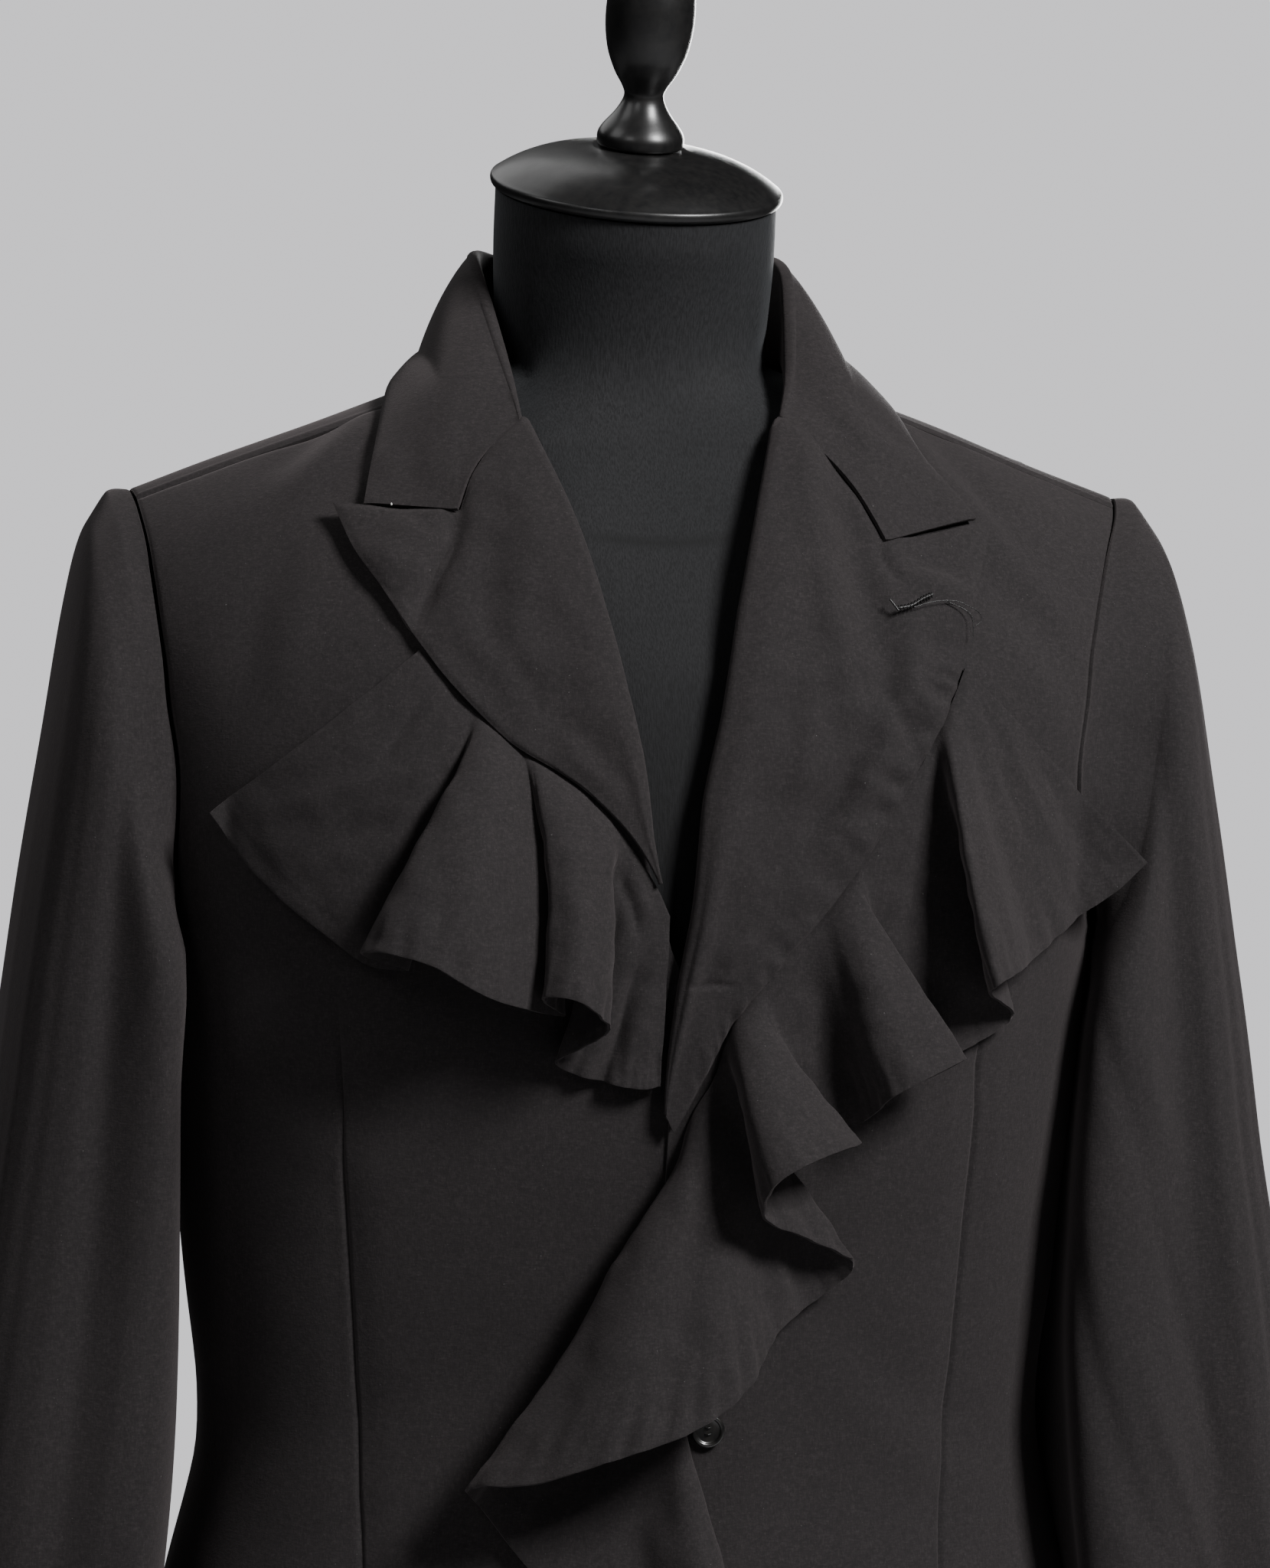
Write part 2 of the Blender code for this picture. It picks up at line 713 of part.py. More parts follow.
def collar():
    """Stand, roll and fall in one folded band round the back of the neck."""
    last = float(len(COLLAR_STATIONS))
    ends = {}
    for side, end in ((-1.0, RIGHT_COLLAR_END), (1.0, LEFT_COLLAR_END)):
        middle, corner = section_for(*end[3:5]), section_for(*end[5:7])
        ends[side] = ((*end[0:4], middle, end[5], corner),) + COLLAR_STATIONS

    def place(column, row):
        side = -1.0 if column < 0.5 else 1.0
        station = (1.0 - abs(column - 0.5) * 2) * last
        values = blend_rows(ends[side], station)
        roll = Vector(values[0:3])
        middle = shoulder_point(values[3], values[4], COLLAR_OUT + COLLAR_BULGE)
        outer = shoulder_point(values[5], values[6], COLLAR_OUT)
        inward = Vector((-roll.x, -roll.y, 0)).normalized()
        if row < COLLAR_STAND_SHARE:
            point = roll + inward * COLLAR_ROLL_INSIDE
            point.z -= COLLAR_ROLL_DROP
            seat = surface_height(point.x, point.y) + COLLAR_SEAT
            foot = min(max(point.z - COLLAR_STAND, seat), point.z - COLLAR_STAND_LEAST)
            point.z = foot + (point.z - foot) * row / COLLAR_STAND_SHARE
            return mirrored(point, side)
        share = (row - COLLAR_STAND_SHARE) / (1.0 - COLLAR_STAND_SHARE)
        if share < COLLAR_ROLL_SHARE:
            return mirrored(roll, side)
        share = (share - COLLAR_ROLL_SHARE) / (1.0 - COLLAR_ROLL_SHARE)
        below = roll - inward * COLLAR_ROLL_OUTSIDE
        below.z -= COLLAR_ROLL_DROP
        if share < 0.5:
            return mirrored(below.lerp(middle, share * 2), side)
        return mirrored(middle.lerp(outer, share * 2 - 1), side)

    make_cloth("collar", *COLLAR_GRID, place, PANEL_WALL)


def shoulder_point(across, section, out):
    """A point on the shoulder by its distance from the middle, in front or behind."""
    folded = section if section <= RIDGE_SECTION else 2 * RIDGE_SECTION - section
    angle = angle_for(folded, across)
    if section > RIDGE_SECTION:
        angle = math.pi - angle
    return torso_point(folded, angle, out)


def seam_curve(rows, share):
    lengths = [0.0]
    for start, end in zip(rows, rows[1:]):
        lengths.append(lengths[-1] + math.dist(start, end))
    target = lengths[-1] * share
    marks = [(length,) for length in lengths]
    return blend_rows(rows, row_position(marks, 0, target))


def chest_y(across, height):
    """The chest, carried on flat past the place where it turns towards the arm."""
    near = math.copysign(min(abs(across), CHEST_TURN), across)
    return front_point(near, height).y


def ruffle(side_name, seam_rows, fold_rows, grid, lap):
    """Straight lines from the seam to the hem, with the hem waving from fold to fold."""
    last = len(fold_rows) - 1.0

    def place(column, row):
        fall = 1.0 - row
        share, hem_across, hem_height, stand_off = blend_rows(fold_rows, column * last)
        across, height = seam_curve(seam_rows, min(max(share, 0.0), 1.0))
        across += (hem_across / 1000 - across) * fall
        height += (hem_height / 1000 - height) * fall
        out = RUFFLE_SEAM_OUT + (stand_off / 1000 - RUFFLE_SEAM_OUT) * fall ** FOLD_RISE
        out = max(out, RUFFLE_SEAM_OUT)
        if lap:
            out += lap_raise(across, height)
        return Vector((across, chest_y(across, height) - out, height))

    make_cloth("ruffle_" + side_name, *grid, place, RUFFLE_WALL, offset=0.0)


def turned(name, profile, segments, place, finish):
    """A profile of height and radius, spun round its own axis and then placed."""
    bm = bmesh.new()
    points = [bm.verts.new((radius, 0, height)) for height, radius in profile]
    edges = [bm.edges.new(pair) for pair in zip(points, points[1:])]
    bmesh.ops.spin(bm, geom=points + edges, cent=(0, 0, 0), axis=(0, 0, 1),
                   angle=2 * math.pi, steps=segments, use_merge=True)
    bmesh.ops.remove_doubles(bm, verts=bm.verts, dist=MERGE_DISTANCE)
    bmesh.ops.holes_fill(bm, edges=[edge for edge in bm.edges if edge.is_boundary])
    bmesh.ops.recalc_face_normals(bm, faces=bm.faces)
    bmesh.ops.transform(bm, matrix=place, verts=bm.verts)
    piece = add_object(name, bm, finish)
    piece.data.set_sharp_from_angle(angle=math.radians(40))
    return piece


def cap_frame(lift):
    """The neck's top, tilted forward, moved along its own axis."""
    tilt = Matrix.Rotation(CAP_LEAN, 4, "Y") @ Matrix.Rotation(CAP_TILT, 4, "X")
    return Matrix.Translation(NECK_TOP) @ tilt @ Matrix.Translation((0, 0, lift))


def surface_height(across, y):
    """Height of the jacket's shoulder over a point, between its ridge and its chest."""
    behind = y > 0
    low, high = UNDERARM_SECTION, RIDGE_SECTION
    for _ in range(HALVINGS):
        middle = (low + high) / 2
        angle = angle_for(middle, across)
        ring = torso_ring(middle, math.pi - angle if behind else angle)
        if abs(ring.y) > abs(y):
            low = middle
        else:
            high = middle
    level, slope = torso_section(low)[0], torso_section(low)[5]
    return level - slope * shoulder_drop(across)


def form_torso():
    """Jersey-covered torso with its neck, in one closed body."""
    angles = [2 * math.pi * column / FORM_COLUMNS for column in range(FORM_COLUMNS)]
    lowest = TORSO_SECTIONS[0][0]
    rings = []
    for height, width_share, depth_share in FORM_RINGS:
        section = row_position(TORSO_SECTIONS, 0, max(height, lowest))
        inset = -PANEL_WALL - FORM_CLEARANCE
        ring = [torso_point(section, angle, inset) for angle in angles]
        for point in ring:
            point.x *= width_share
            point.y *= depth_share
            if height < lowest:
                point.z = height
        rings.append(ring)
    for half_width, front, back in SHOULDER_RINGS:
        ring = []
        for angle in angles:
            depth = front if math.cos(angle) > 0 else back
            across, y = half_width * math.sin(angle), -depth * math.cos(angle)
            height = surface_height(across, y) - PANEL_WALL - SHOULDER_CLEARANCE
            height -= abs(y) * SHOULDER_EASE
            ring.append(Vector((across, y, height)))
        rings.append(ring)
    tilt = cap_frame(0.0).to_3x3()
    for share, scale in NECK_RINGS:
        centre = NECK_BASE.lerp(NECK_TOP, share)
        ring = []
        for angle in angles:
            flat = Vector((math.sin(angle), -math.cos(angle), 0)) * NECK_RADIUS * scale
            ring.append(centre + flat.lerp(tilt @ flat, share))
        rings.append(ring)
    bm = bmesh.new()
    loops = [[bm.verts.new(point) for point in ring] for ring in rings]
    for low, high in zip(loops, loops[1:]):
        for index in range(FORM_COLUMNS):
            after = (index + 1) % FORM_COLUMNS
            bm.faces.new((low[index], low[after], high[after], high[index]))
    bm.faces.new(list(reversed(loops[0])))
    bm.faces.new(loops[-1])
    bmesh.ops.recalc_face_normals(bm, faces=bm.faces)
    add_object("form_torso", bm, BLACK_JERSEY)


def stand():
    turned("neck_cap", CAP_PROFILE, CAP_SEGMENTS, cap_frame(CAP_GAP), BLACK_LACQUER)
    finial_rows = [(share * FINIAL_HEIGHT, radius) for share, radius in FINIAL_PROFILE]
    finial_foot = cap_frame(CAP_GAP + CAP_PROFILE[-1][0] + WOOD_GAP)
    turned("finial", finial_rows, POLE_SEGMENTS, finial_foot, BLACK_LACQUER)
    pole_rows = ((BASE_HEIGHT + WOOD_GAP, POLE_RADIUS), (FORM_HEM - WOOD_GAP, POLE_RADIUS))
    turned("stand_pole", pole_rows, POLE_SEGMENTS, Matrix.Identity(4), BLACK_LACQUER)
    turned("stand_base", BASE_PROFILE, BASE_SEGMENTS, Matrix.Identity(4), BLACK_LACQUER)


def button():
    """Sewn to the wearer's right front, pushed out through the left one."""
    half = BUTTON_THICKNESS / 2
    profile = (
        (-half, 0.0), (-half, BUTTON_RADIUS * 0.82), (-half * 0.4, BUTTON_RADIUS),
        (half * 0.4, BUTTON_RADIUS), (half, BUTTON_RADIUS * 0.85), (half * 0.6, 0.0),
    )
    seat = front_point(BUTTON_ACROSS, BUTTON_HEIGHT, LAP_RAISE + half + 2 * SEAM_GAP)
    face = Matrix.Rotation(math.radians(90), 4, "X")
    turned("button", profile, POLE_SEGMENTS, Matrix.Translation(seat) @ face, DARK_HORN)


def main():
    clear_scene()
    front_panel("left", 1.0, LEFT_FRONT_EDGE, True)
    front_panel("right", -1.0, RIGHT_FRONT_EDGE, False)
    back_panel("left", 1.0)
    back_panel("right", -1.0)
    sleeve("left", 1.0)
    sleeve("right", -1.0)
    collar()
    lapel("left", 1.0, LEFT_FRONT_EDGE, LEFT_LAPEL_EDGE, LEFT_LAPEL_TOP, True)
    lapel("right", -1.0, RIGHT_FRONT_EDGE, RIGHT_LAPEL_EDGE, RIGHT_LAPEL_TOP, False)
    ruffle("left", LEFT_RUFFLE_SEAM, LEFT_RUFFLE_FOLDS, LEFT_RUFFLE_GRID, True)
    ruffle("right", RIGHT_RUFFLE_SEAM, RIGHT_RUFFLE_FOLDS, RIGHT_RUFFLE_GRID, False)
    form_torso()
    stand()
    button()


main()
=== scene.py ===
# Black ruffle blazer on its dress form: the finish of every surface
# The wearer's left is +X and the front faces -Y
# Lengths are in metres, and in millimetres in the tables that metres() reads

import math

import bmesh
import bpy
from mathutils import Matrix, Vector, noise


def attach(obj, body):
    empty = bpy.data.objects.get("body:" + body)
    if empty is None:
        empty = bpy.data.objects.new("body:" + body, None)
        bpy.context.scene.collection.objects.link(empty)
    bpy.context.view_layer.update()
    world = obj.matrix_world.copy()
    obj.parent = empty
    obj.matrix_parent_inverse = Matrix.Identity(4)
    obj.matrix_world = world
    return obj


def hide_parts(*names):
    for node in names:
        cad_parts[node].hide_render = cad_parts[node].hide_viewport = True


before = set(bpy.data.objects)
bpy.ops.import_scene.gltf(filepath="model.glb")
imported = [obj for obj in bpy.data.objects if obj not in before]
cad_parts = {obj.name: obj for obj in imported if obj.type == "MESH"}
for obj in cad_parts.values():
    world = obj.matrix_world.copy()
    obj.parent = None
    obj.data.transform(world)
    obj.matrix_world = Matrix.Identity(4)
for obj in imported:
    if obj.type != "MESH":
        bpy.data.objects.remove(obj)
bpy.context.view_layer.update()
print("frame loaded")


# The body that the blazer hangs round: the same sections as the solids
body = {
    "shoulderSlope": 0.38,
    "neckSide": 0.060,
    "neckSoftness": 0.020,
    "sideSeam": math.radians(97),
    "underarm": 6.0,
    "shoulderSeam": 10.40,
    "ridge": 11.0,
    # level, half width, front depth, back depth, squareness, share of the shoulder slope
    "sections": (
        (0.800, 0.219, 0.134, 0.128, 2.3, 0.00),
        (0.860, 0.213, 0.126, 0.122, 2.3, 0.00),
        (0.915, 0.204, 0.117, 0.113, 2.3, 0.00),
        (0.985, 0.1885, 0.108, 0.098, 2.3, 0.00),
        (1.060, 0.195, 0.112, 0.104, 2.3, 0.00),
        (1.130, 0.202, 0.120, 0.110, 2.4, 0.00),
        (1.210, 0.208, 0.128, 0.118, 2.5, 0.10),
        (1.300, 0.217, 0.124, 0.122, 2.6, 0.40),
        (1.372, 0.229, 0.104, 0.112, 2.6, 0.75),
        (1.422, 0.237, 0.074, 0.090, 2.5, 0.93),
        (1.449, 0.241, 0.040, 0.055, 2.4, 1.00),
        (1.460, 0.242, 0.000, 0.000, 2.4, 1.00),
    ),
    # the front half of an armhole seam sits further round, in degrees
    "armholeLeft": -4.0,
    "armholeRight": 8.0,
    # where that turn starts and where it ends: a section, and the length of the change
    "turnStart": (6.0, 0.5),
    "turnEnd": (6.8, 3.8),
    # section, angle from the front, angle from the back, in degrees
    "armhole": (
        (6.00, 97.0, 83.0),
        (6.25, 70.0, 70.5),
        (6.60, 62.7, 66.0),
        (7.00, 59.1, 63.0),
        (7.50, 58.2, 62.0),
        (8.00, 57.0, 60.5),
        (9.00, 58.7, 60.5),
        (10.00, 61.6, 62.2),
        (11.00, 63.4, 63.4),
    ),
}

sides = {"left": 1.0, "right": -1.0}
mergeDistance = 0.00001


def metres(table):
    if isinstance(table, tuple):
        return tuple(metres(part) for part in table)
    return round(table / 1000, 7)


def smoothStep(value):
    value = min(max(value, 0.0), 1.0)
    return value * value * (3.0 - 2.0 * value)


def ease(value, start, length):
    return smoothStep((value - start) / length)


def bell(distance, width):
    return math.exp(-(distance / width) ** 2)


def arch(share):
    return math.sin(math.pi * share)


def hermite(start, end, startSlope, endSlope, share):
    square = share * share
    cube = square * share
    return ((2 * cube - 3 * square + 1) * start + (cube - 2 * square + share) * startSlope
            + (3 * square - 2 * cube) * end + (cube - square) * endSlope)


def blendRows(rows, position, mirrorEnd=None):
    # a smooth blend between the rows on both sides of a position
    last = len(rows) - 1
    position = min(max(position, 0.0), float(last))
    index = min(int(position), last - 1)
    share = position - index
    here, after = rows[index], rows[index + 1]
    before = rows[index - 1] if index > 0 else None
    beyond = rows[index + 2] if index + 2 <= last else mirrorEnd
    values = []
    for column in range(len(here)):
        rise = after[column] - here[column]
        startSlope = (after[column] - before[column]) / 2 if before else rise
        endSlope = (beyond[column] - here[column]) / 2 if beyond else rise
        values.append(hermite(here[column], after[column], startSlope, endSlope, share))
    return values


def rowPosition(rows, value):
    for index in range(len(rows) - 1):
        start, end = rows[index][0], rows[index + 1][0]
        if value <= end:
            return index + min(max((value - start) / (end - start), 0.0), 1.0)
    return len(rows) - 1.0


def rowAt(rows, value):
    return blendRows(rows, rowPosition(rows, value))


lowerRow = body["sections"][-2]
ridgeMirror = (lowerRow[0], lowerRow[1], -lowerRow[2], -lowerRow[3], lowerRow[4], lowerRow[5])


def bodySection(section):
    return blendRows(body["sections"], section, ridgeMirror)


def shoulderDrop(across):
    return body["shoulderSlope"] * (math.hypot(across, body["neckSoftness"]) - body["neckSide"])


def levelAt(values, across):
    return values[0] - values[5] * shoulderDrop(across)


def bodyRing(section, angle):
    level, halfWidth, front, back, square, slope = bodySection(section)
    sine, cosine = math.sin(angle), math.cos(angle)
    across = halfWidth * math.copysign(abs(sine) ** (2 / square), sine)
    depth = abs(cosine) ** (2 / square)
    y = -front * depth if cosine >= 0 else back * depth
    return Vector((across, y, level - slope * shoulderDrop(across)))


def bodyNormal(section, angle):
    step = 0.004
    low, high = max(section - step, 0.0), min(section + step, body["ridge"])
    around = bodyRing(section, angle + step) - bodyRing(section, angle - step)
    upward = bodyRing(high, angle) - bodyRing(low, angle)
    return around.cross(upward).normalized()


def bodyPoint(section, angle, out=0.0):
    # a section past the ridge is on the other side of the shoulder
    if section > body["ridge"]:
        section = 2 * body["ridge"] - section
        angle = math.copysign(math.pi, angle) - angle
    point = bodyRing(section, angle)
    return point + bodyNormal(section, angle) * out if out else point


def angleFor(section, across):
    values = bodySection(section)
    share = min(abs(across) / values[1], 1.0) ** (values[4] / 2)
    return math.copysign(math.asin(share), across)


def search(low, high, isBelow):
    # halves the range again and again
    for _ in range(24):
        middle = (low + high) / 2
        if isBelow(middle):
            low = middle
        else:
            high = middle
    return low


def sectionFor(across, height):
    return search(0.0, body["ridge"], lambda section: levelAt(bodySection(section), across) < height)


def surfaceHeight(across, y):
    def isOutside(section):
        angle = angleFor(section, across)
        return abs(bodyRing(section, math.pi - angle if y > 0 else angle).y) > abs(y)

    return levelAt(bodySection(search(body["underarm"], body["ridge"], isOutside)), across)


def frontPoint(across, height, out=0.0):
    section = sectionFor(across, height)
    return bodyPoint(section, angleFor(section, across), out)


def shoulderPoint(across, section, out):
    folded = section if section <= body["ridge"] else 2 * body["ridge"] - section
    angle = angleFor(folded, across)
    return bodyPoint(folded, math.pi - angle if section > body["ridge"] else angle, out)


def armholeAngle(section, column, side):
    degrees = rowAt(body["armhole"], section)[column]
    if column == 1:
        shift = body["armholeLeft"] if side > 0 else body["armholeRight"]
        degrees += shift * ease(section, *body["turnStart"]) * (1.0 - ease(section, *body["turnEnd"]))
    return math.radians(degrees)


def edgeAcross(rows, height):
    return rowAt(rows, height)[1]


def edgeAngle(rows, section):
    across = 0.02
    values = bodySection(section)
    for _ in range(10):
        across = edgeAcross(rows, levelAt(values, across))
    return angleFor(section, across)


def runLengths(line):
    lengths = [0.0]
    for start, end in zip(line, line[1:]):
        lengths.append(lengths[-1] + math.dist(start, end))
    return lengths


def foldLift(folds, x, z):
    # each fold: lift, width, then the points of its line; a trough has a negative lift
    total = 0.0
    for lift, width, *line in folds:
        lengths = runLengths(line)
        best, along = 9.0, 0.0
        for number, (start, end) in enumerate(zip(line, line[1:])):
            dx, dz = end[0] - start[0], end[1] - start[1]
            size = dx * dx + dz * dz
            share = min(max(((x - start[0]) * dx + (z - start[1]) * dz) / size, 0.0), 1.0)
            away = math.hypot(x - start[0] - share * dx, z - start[1] - share * dz)
            if away < best:
                best = away
                along = (lengths[number] + share * (lengths[number + 1] - lengths[number])) / lengths[-1]
        if best < 3 * width:
            # a fold runs out at both of its ends
            total += lift * arch(min(max(along, 0.02), 0.98)) ** 0.6 * bell(best, width)
    return total


def ripple(x, y, z, size):
    return noise.noise(Vector((x, y, z)) / size)


def edgeEase(share, pull=0.8):
    # packs a grid's lines closer beside both of its edges
    return share - pull * math.sin(2 * math.pi * share) / (2 * math.pi)


clothLook = {
    "rollDepth": 0.0007,
    "rollWidth": 0.0028,
    "edgeShare": 0.32,
    "edgeSegments": 2,
    "edgeAngle": math.radians(55),
}


def seamRoll(distance, depth=clothLook["rollDepth"], width=clothLook["rollWidth"]):
    # cloth turns under beside a seam or a hem
    return -depth * bell(distance, width)


def mirrored(point, side):
    return Vector((point.x * side, point.y, point.z))


def mergeDoubles(bm):
    bmesh.ops.remove_doubles(bm, verts=bm.verts, dist=mergeDistance)


def closeHoles(bm):
    bmesh.ops.holes_fill(bm, edges=[edge for edge in bm.edges if edge.is_boundary])
    bmesh.ops.recalc_face_normals(bm, faces=bm.faces)


def addPiece(name, bm, material, nodeName):
    mesh = bpy.data.meshes.new(name)
    bm.to_mesh(mesh)
    bm.free()
    mesh.shade_smooth()
    piece = bpy.data.objects.new(name, mesh)
    bpy.context.scene.collection.objects.link(piece)
    mesh.materials.append(material)
    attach(piece, "root")
    if nodeName:
        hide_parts(nodeName)
    return piece


def clothPiece(nodeName, columns, rows, place, wall, relief=None, offset=-1.0, tube=False):
    # place gives each point of the cloth, and relief then moves it along the cloth's own normal
    bm = bmesh.new()
    bmesh.ops.create_grid(bm, x_segments=columns, y_segments=rows, size=0.5)
    marks = [(vertex, vertex.co.x + 0.5, vertex.co.y + 0.5) for vertex in bm.verts]
    for vertex, column, row in marks:
        vertex.co = place(column, row)
    if tube:
        mergeDoubles(bm)
    if relief:
        bm.normal_update()
        for vertex, column, row in marks:
            if vertex.is_valid:
                vertex.co += vertex.normal * relief(column, row, vertex.co)
    piece = addPiece("blazer_" + nodeName, bm, blackWool, nodeName)
    solidify = piece.modifiers.new("wall", "SOLIDIFY")
    solidify.thickness = wall
    solidify.offset = offset
    bevel = piece.modifiers.new("soft edge", "BEVEL")
    bevel.width = wall * clothLook["edgeShare"]
    bevel.segments = clothLook["edgeSegments"]
    bevel.limit_method = "ANGLE"
    bevel.angle_limit = clothLook["edgeAngle"]
    print(piece.name, "made")
    return piece


# Materials

def newMaterial(name):
    material = bpy.data.materials.new(name)
    material.use_nodes = True
    tree = material.node_tree
    shader = tree.nodes["Principled BSDF"]
    coordinates = tree.nodes.new("ShaderNodeTexCoord")
    return material, tree, shader, coordinates.outputs["Object"]


def setFinish(shader, finish):
    for socket, value in finish.items():
        shader.inputs[socket].default_value = value


def noiseNode(tree, place, scale, detail=4.0, roughness=0.55, stretch=None):
    if stretch:
        mapping = tree.nodes.new("ShaderNodeMapping")
        mapping.inputs["Scale"].default_value = stretch
        tree.links.new(place, mapping.inputs["Vector"])
        place = mapping.outputs["Vector"]
    texture = tree.nodes.new("ShaderNodeTexNoise")
    texture.inputs["Scale"].default_value = scale
    texture.inputs["Detail"].default_value = detail
    texture.inputs["Roughness"].default_value = roughness
    tree.links.new(place, texture.inputs["Vector"])
    return texture.outputs["Fac"]


def rampNode(tree, value, *stops):
    # each stop is a position and a colour, and one number stands for a grey
    ramp = tree.nodes.new("ShaderNodeValToRGB")
    elements = ramp.color_ramp.elements
    while len(elements) < len(stops):
        elements.new(0.5)
    for element, (position, colour) in zip(elements, stops):
        element.position = position
        element.color = (*colour, 1.0) if isinstance(colour, tuple) else (colour, colour, colour, 1.0)
    tree.links.new(value, ramp.inputs["Fac"])
    return ramp.outputs["Color"]


def mixColour(tree, first, second, share, blend="MIX"):
    mix = tree.nodes.new("ShaderNodeMix")
    mix.data_type = "RGBA"
    mix.blend_type = blend
    for value, socket in ((share, 0), (first, 6), (second, 7)):
        if isinstance(value, bpy.types.NodeSocket):
            tree.links.new(value, mix.inputs[socket])
        elif socket:
            mix.inputs[socket].default_value = (*value, 1.0)
        else:
            mix.inputs[socket].default_value = value
    return mix.outputs[2]


def multiplyColour(tree, first, second):
    return mixColour(tree, first, second, 1.0, "MULTIPLY")


def mathNode(tree, operation, first, second=0.0):
    node = tree.nodes.new("ShaderNodeMath")
    node.operation = operation
    for value, socket in ((first, node.inputs[0]), (second, node.inputs[1])):
        if isinstance(value, bpy.types.NodeSocket):
            tree.links.new(value, socket)
        else:
            socket.default_value = value
    return node.outputs[0]


def bumpNode(tree, height, distance, strength, below=None):
    bump = tree.nodes.new("ShaderNodeBump")
    bump.inputs["Distance"].default_value = distance
    bump.inputs["Strength"].default_value = strength
    tree.links.new(height, bump.inputs["Height"])
    if below:
        tree.links.new(below, bump.inputs["Normal"])
    return bump.outputs["Normal"]


# a noise is its scale, detail, roughness and stretch, and a bump its depth and strength
woolLook = {
    "dark": (0.0074, 0.0064, 0.0066),
    "light": (0.0134, 0.0115, 0.0118),
    "nap": (0.0290, 0.0248, 0.0253),
    "lint": (0.085, 0.082, 0.080),
    "patches": ((0.35, (0.92, 0.92, 0.93)), (0.65, (1.07, 1.06, 1.06))),
    "patchNoise": (7.0, 2.0),
    "mottleNoise": (420.0, 5.0, 0.7),
    "warpNoise": (1300.0, 3.0, 0.7, (1.0, 1.0, 0.30)),
    "weftNoise": (1300.0, 3.0, 0.7, (0.30, 0.30, 1.0)),
    "lintNoise": (900.0, 2.0, 0.5),
    "mottleBump": (0.0004, 0.35),
    "threadBump": (0.0005, 0.55),
    "finish": {
        "Roughness": 0.88, "Specular IOR Level": 0.20, "Sheen Weight": 0.06, "Sheen Roughness": 0.55,
        "Sheen Tint": (1.0, 0.86, 0.87, 1.0),
    },
}


def makeWool():
    look = woolLook
    material, tree, shader, place = newMaterial("black wool crepe")
    patch = noiseNode(tree, place, *look["patchNoise"])
    mottle = noiseNode(tree, place, *look["mottleNoise"])
    warp = noiseNode(tree, place, *look["warpNoise"])
    weft = noiseNode(tree, place, *look["weftNoise"])
    lint = noiseNode(tree, place, *look["lintNoise"])
    threads = mixColour(tree, warp, weft, 0.5)
    tone = rampNode(tree, mottle, (0.30, look["dark"]), (0.70, look["light"]))
    tone = mixColour(tree, tone, look["nap"], rampNode(tree, threads, (0.48, 0.0), (0.72, 0.7)))
    tone = mixColour(tree, tone, look["lint"], rampNode(tree, lint, (0.755, 0.0), (0.80, 0.8)))
    tone = multiplyColour(tree, tone, rampNode(tree, patch, *look["patches"]))
    tree.links.new(tone, shader.inputs["Base Color"])
    normal = bumpNode(tree, mottle, *look["mottleBump"])
    normal = bumpNode(tree, threads, *look["threadBump"], normal)
    tree.links.new(normal, shader.inputs["Normal"])
    setFinish(shader, look["finish"])
    return material


jerseyLook = {
    "dark": (0.0030, 0.0030, 0.0034),
    "light": (0.0086, 0.0086, 0.0094),
    "worn": (0.0135, 0.0135, 0.0146),
    "clouds": ((0.35, (0.80, 0.83, 0.85)), (0.65, (1.08, 1.07, 1.07))),
    "ribNoise": (1500.0, 1.0, 0.5, (1.0, 0.8, 0.14)),
    "cloudNoise": (14.0, 3.0),
    "grainNoise": (700.0, 4.0, 0.7),
    "ribBump": (0.0003, 0.5),
    "grainBump": (0.0003, 0.4),
    # painted shade: the jersey is darker down in the opening, where the lapels shade it
    "openingShadeFrom": 1.20,
    "openingShadeScale": 4.2,
    "openingShade": ((0.17, (0.38, 0.38, 0.39)), (0.55, (0.70, 0.70, 0.71)), (0.80, 0.93), (1.0, 1.0)),
    # painted shade: a dark line along a fold across the jersey under the throat
    "creaseShade": (0.0022, 0.0022, 0.0024),
    "foldHeight": 1.3785,
    "foldSag": 3.0,
    "foldWidth": 0.0016,
    "foldReach": (0.020, 0.040),
    "finish": {
        "Roughness": 0.80, "Specular IOR Level": 0.22, "Sheen Weight": 0.10, "Sheen Roughness": 0.45,
        "Sheen Tint": (0.85, 0.90, 0.95, 1.0),
    },
}


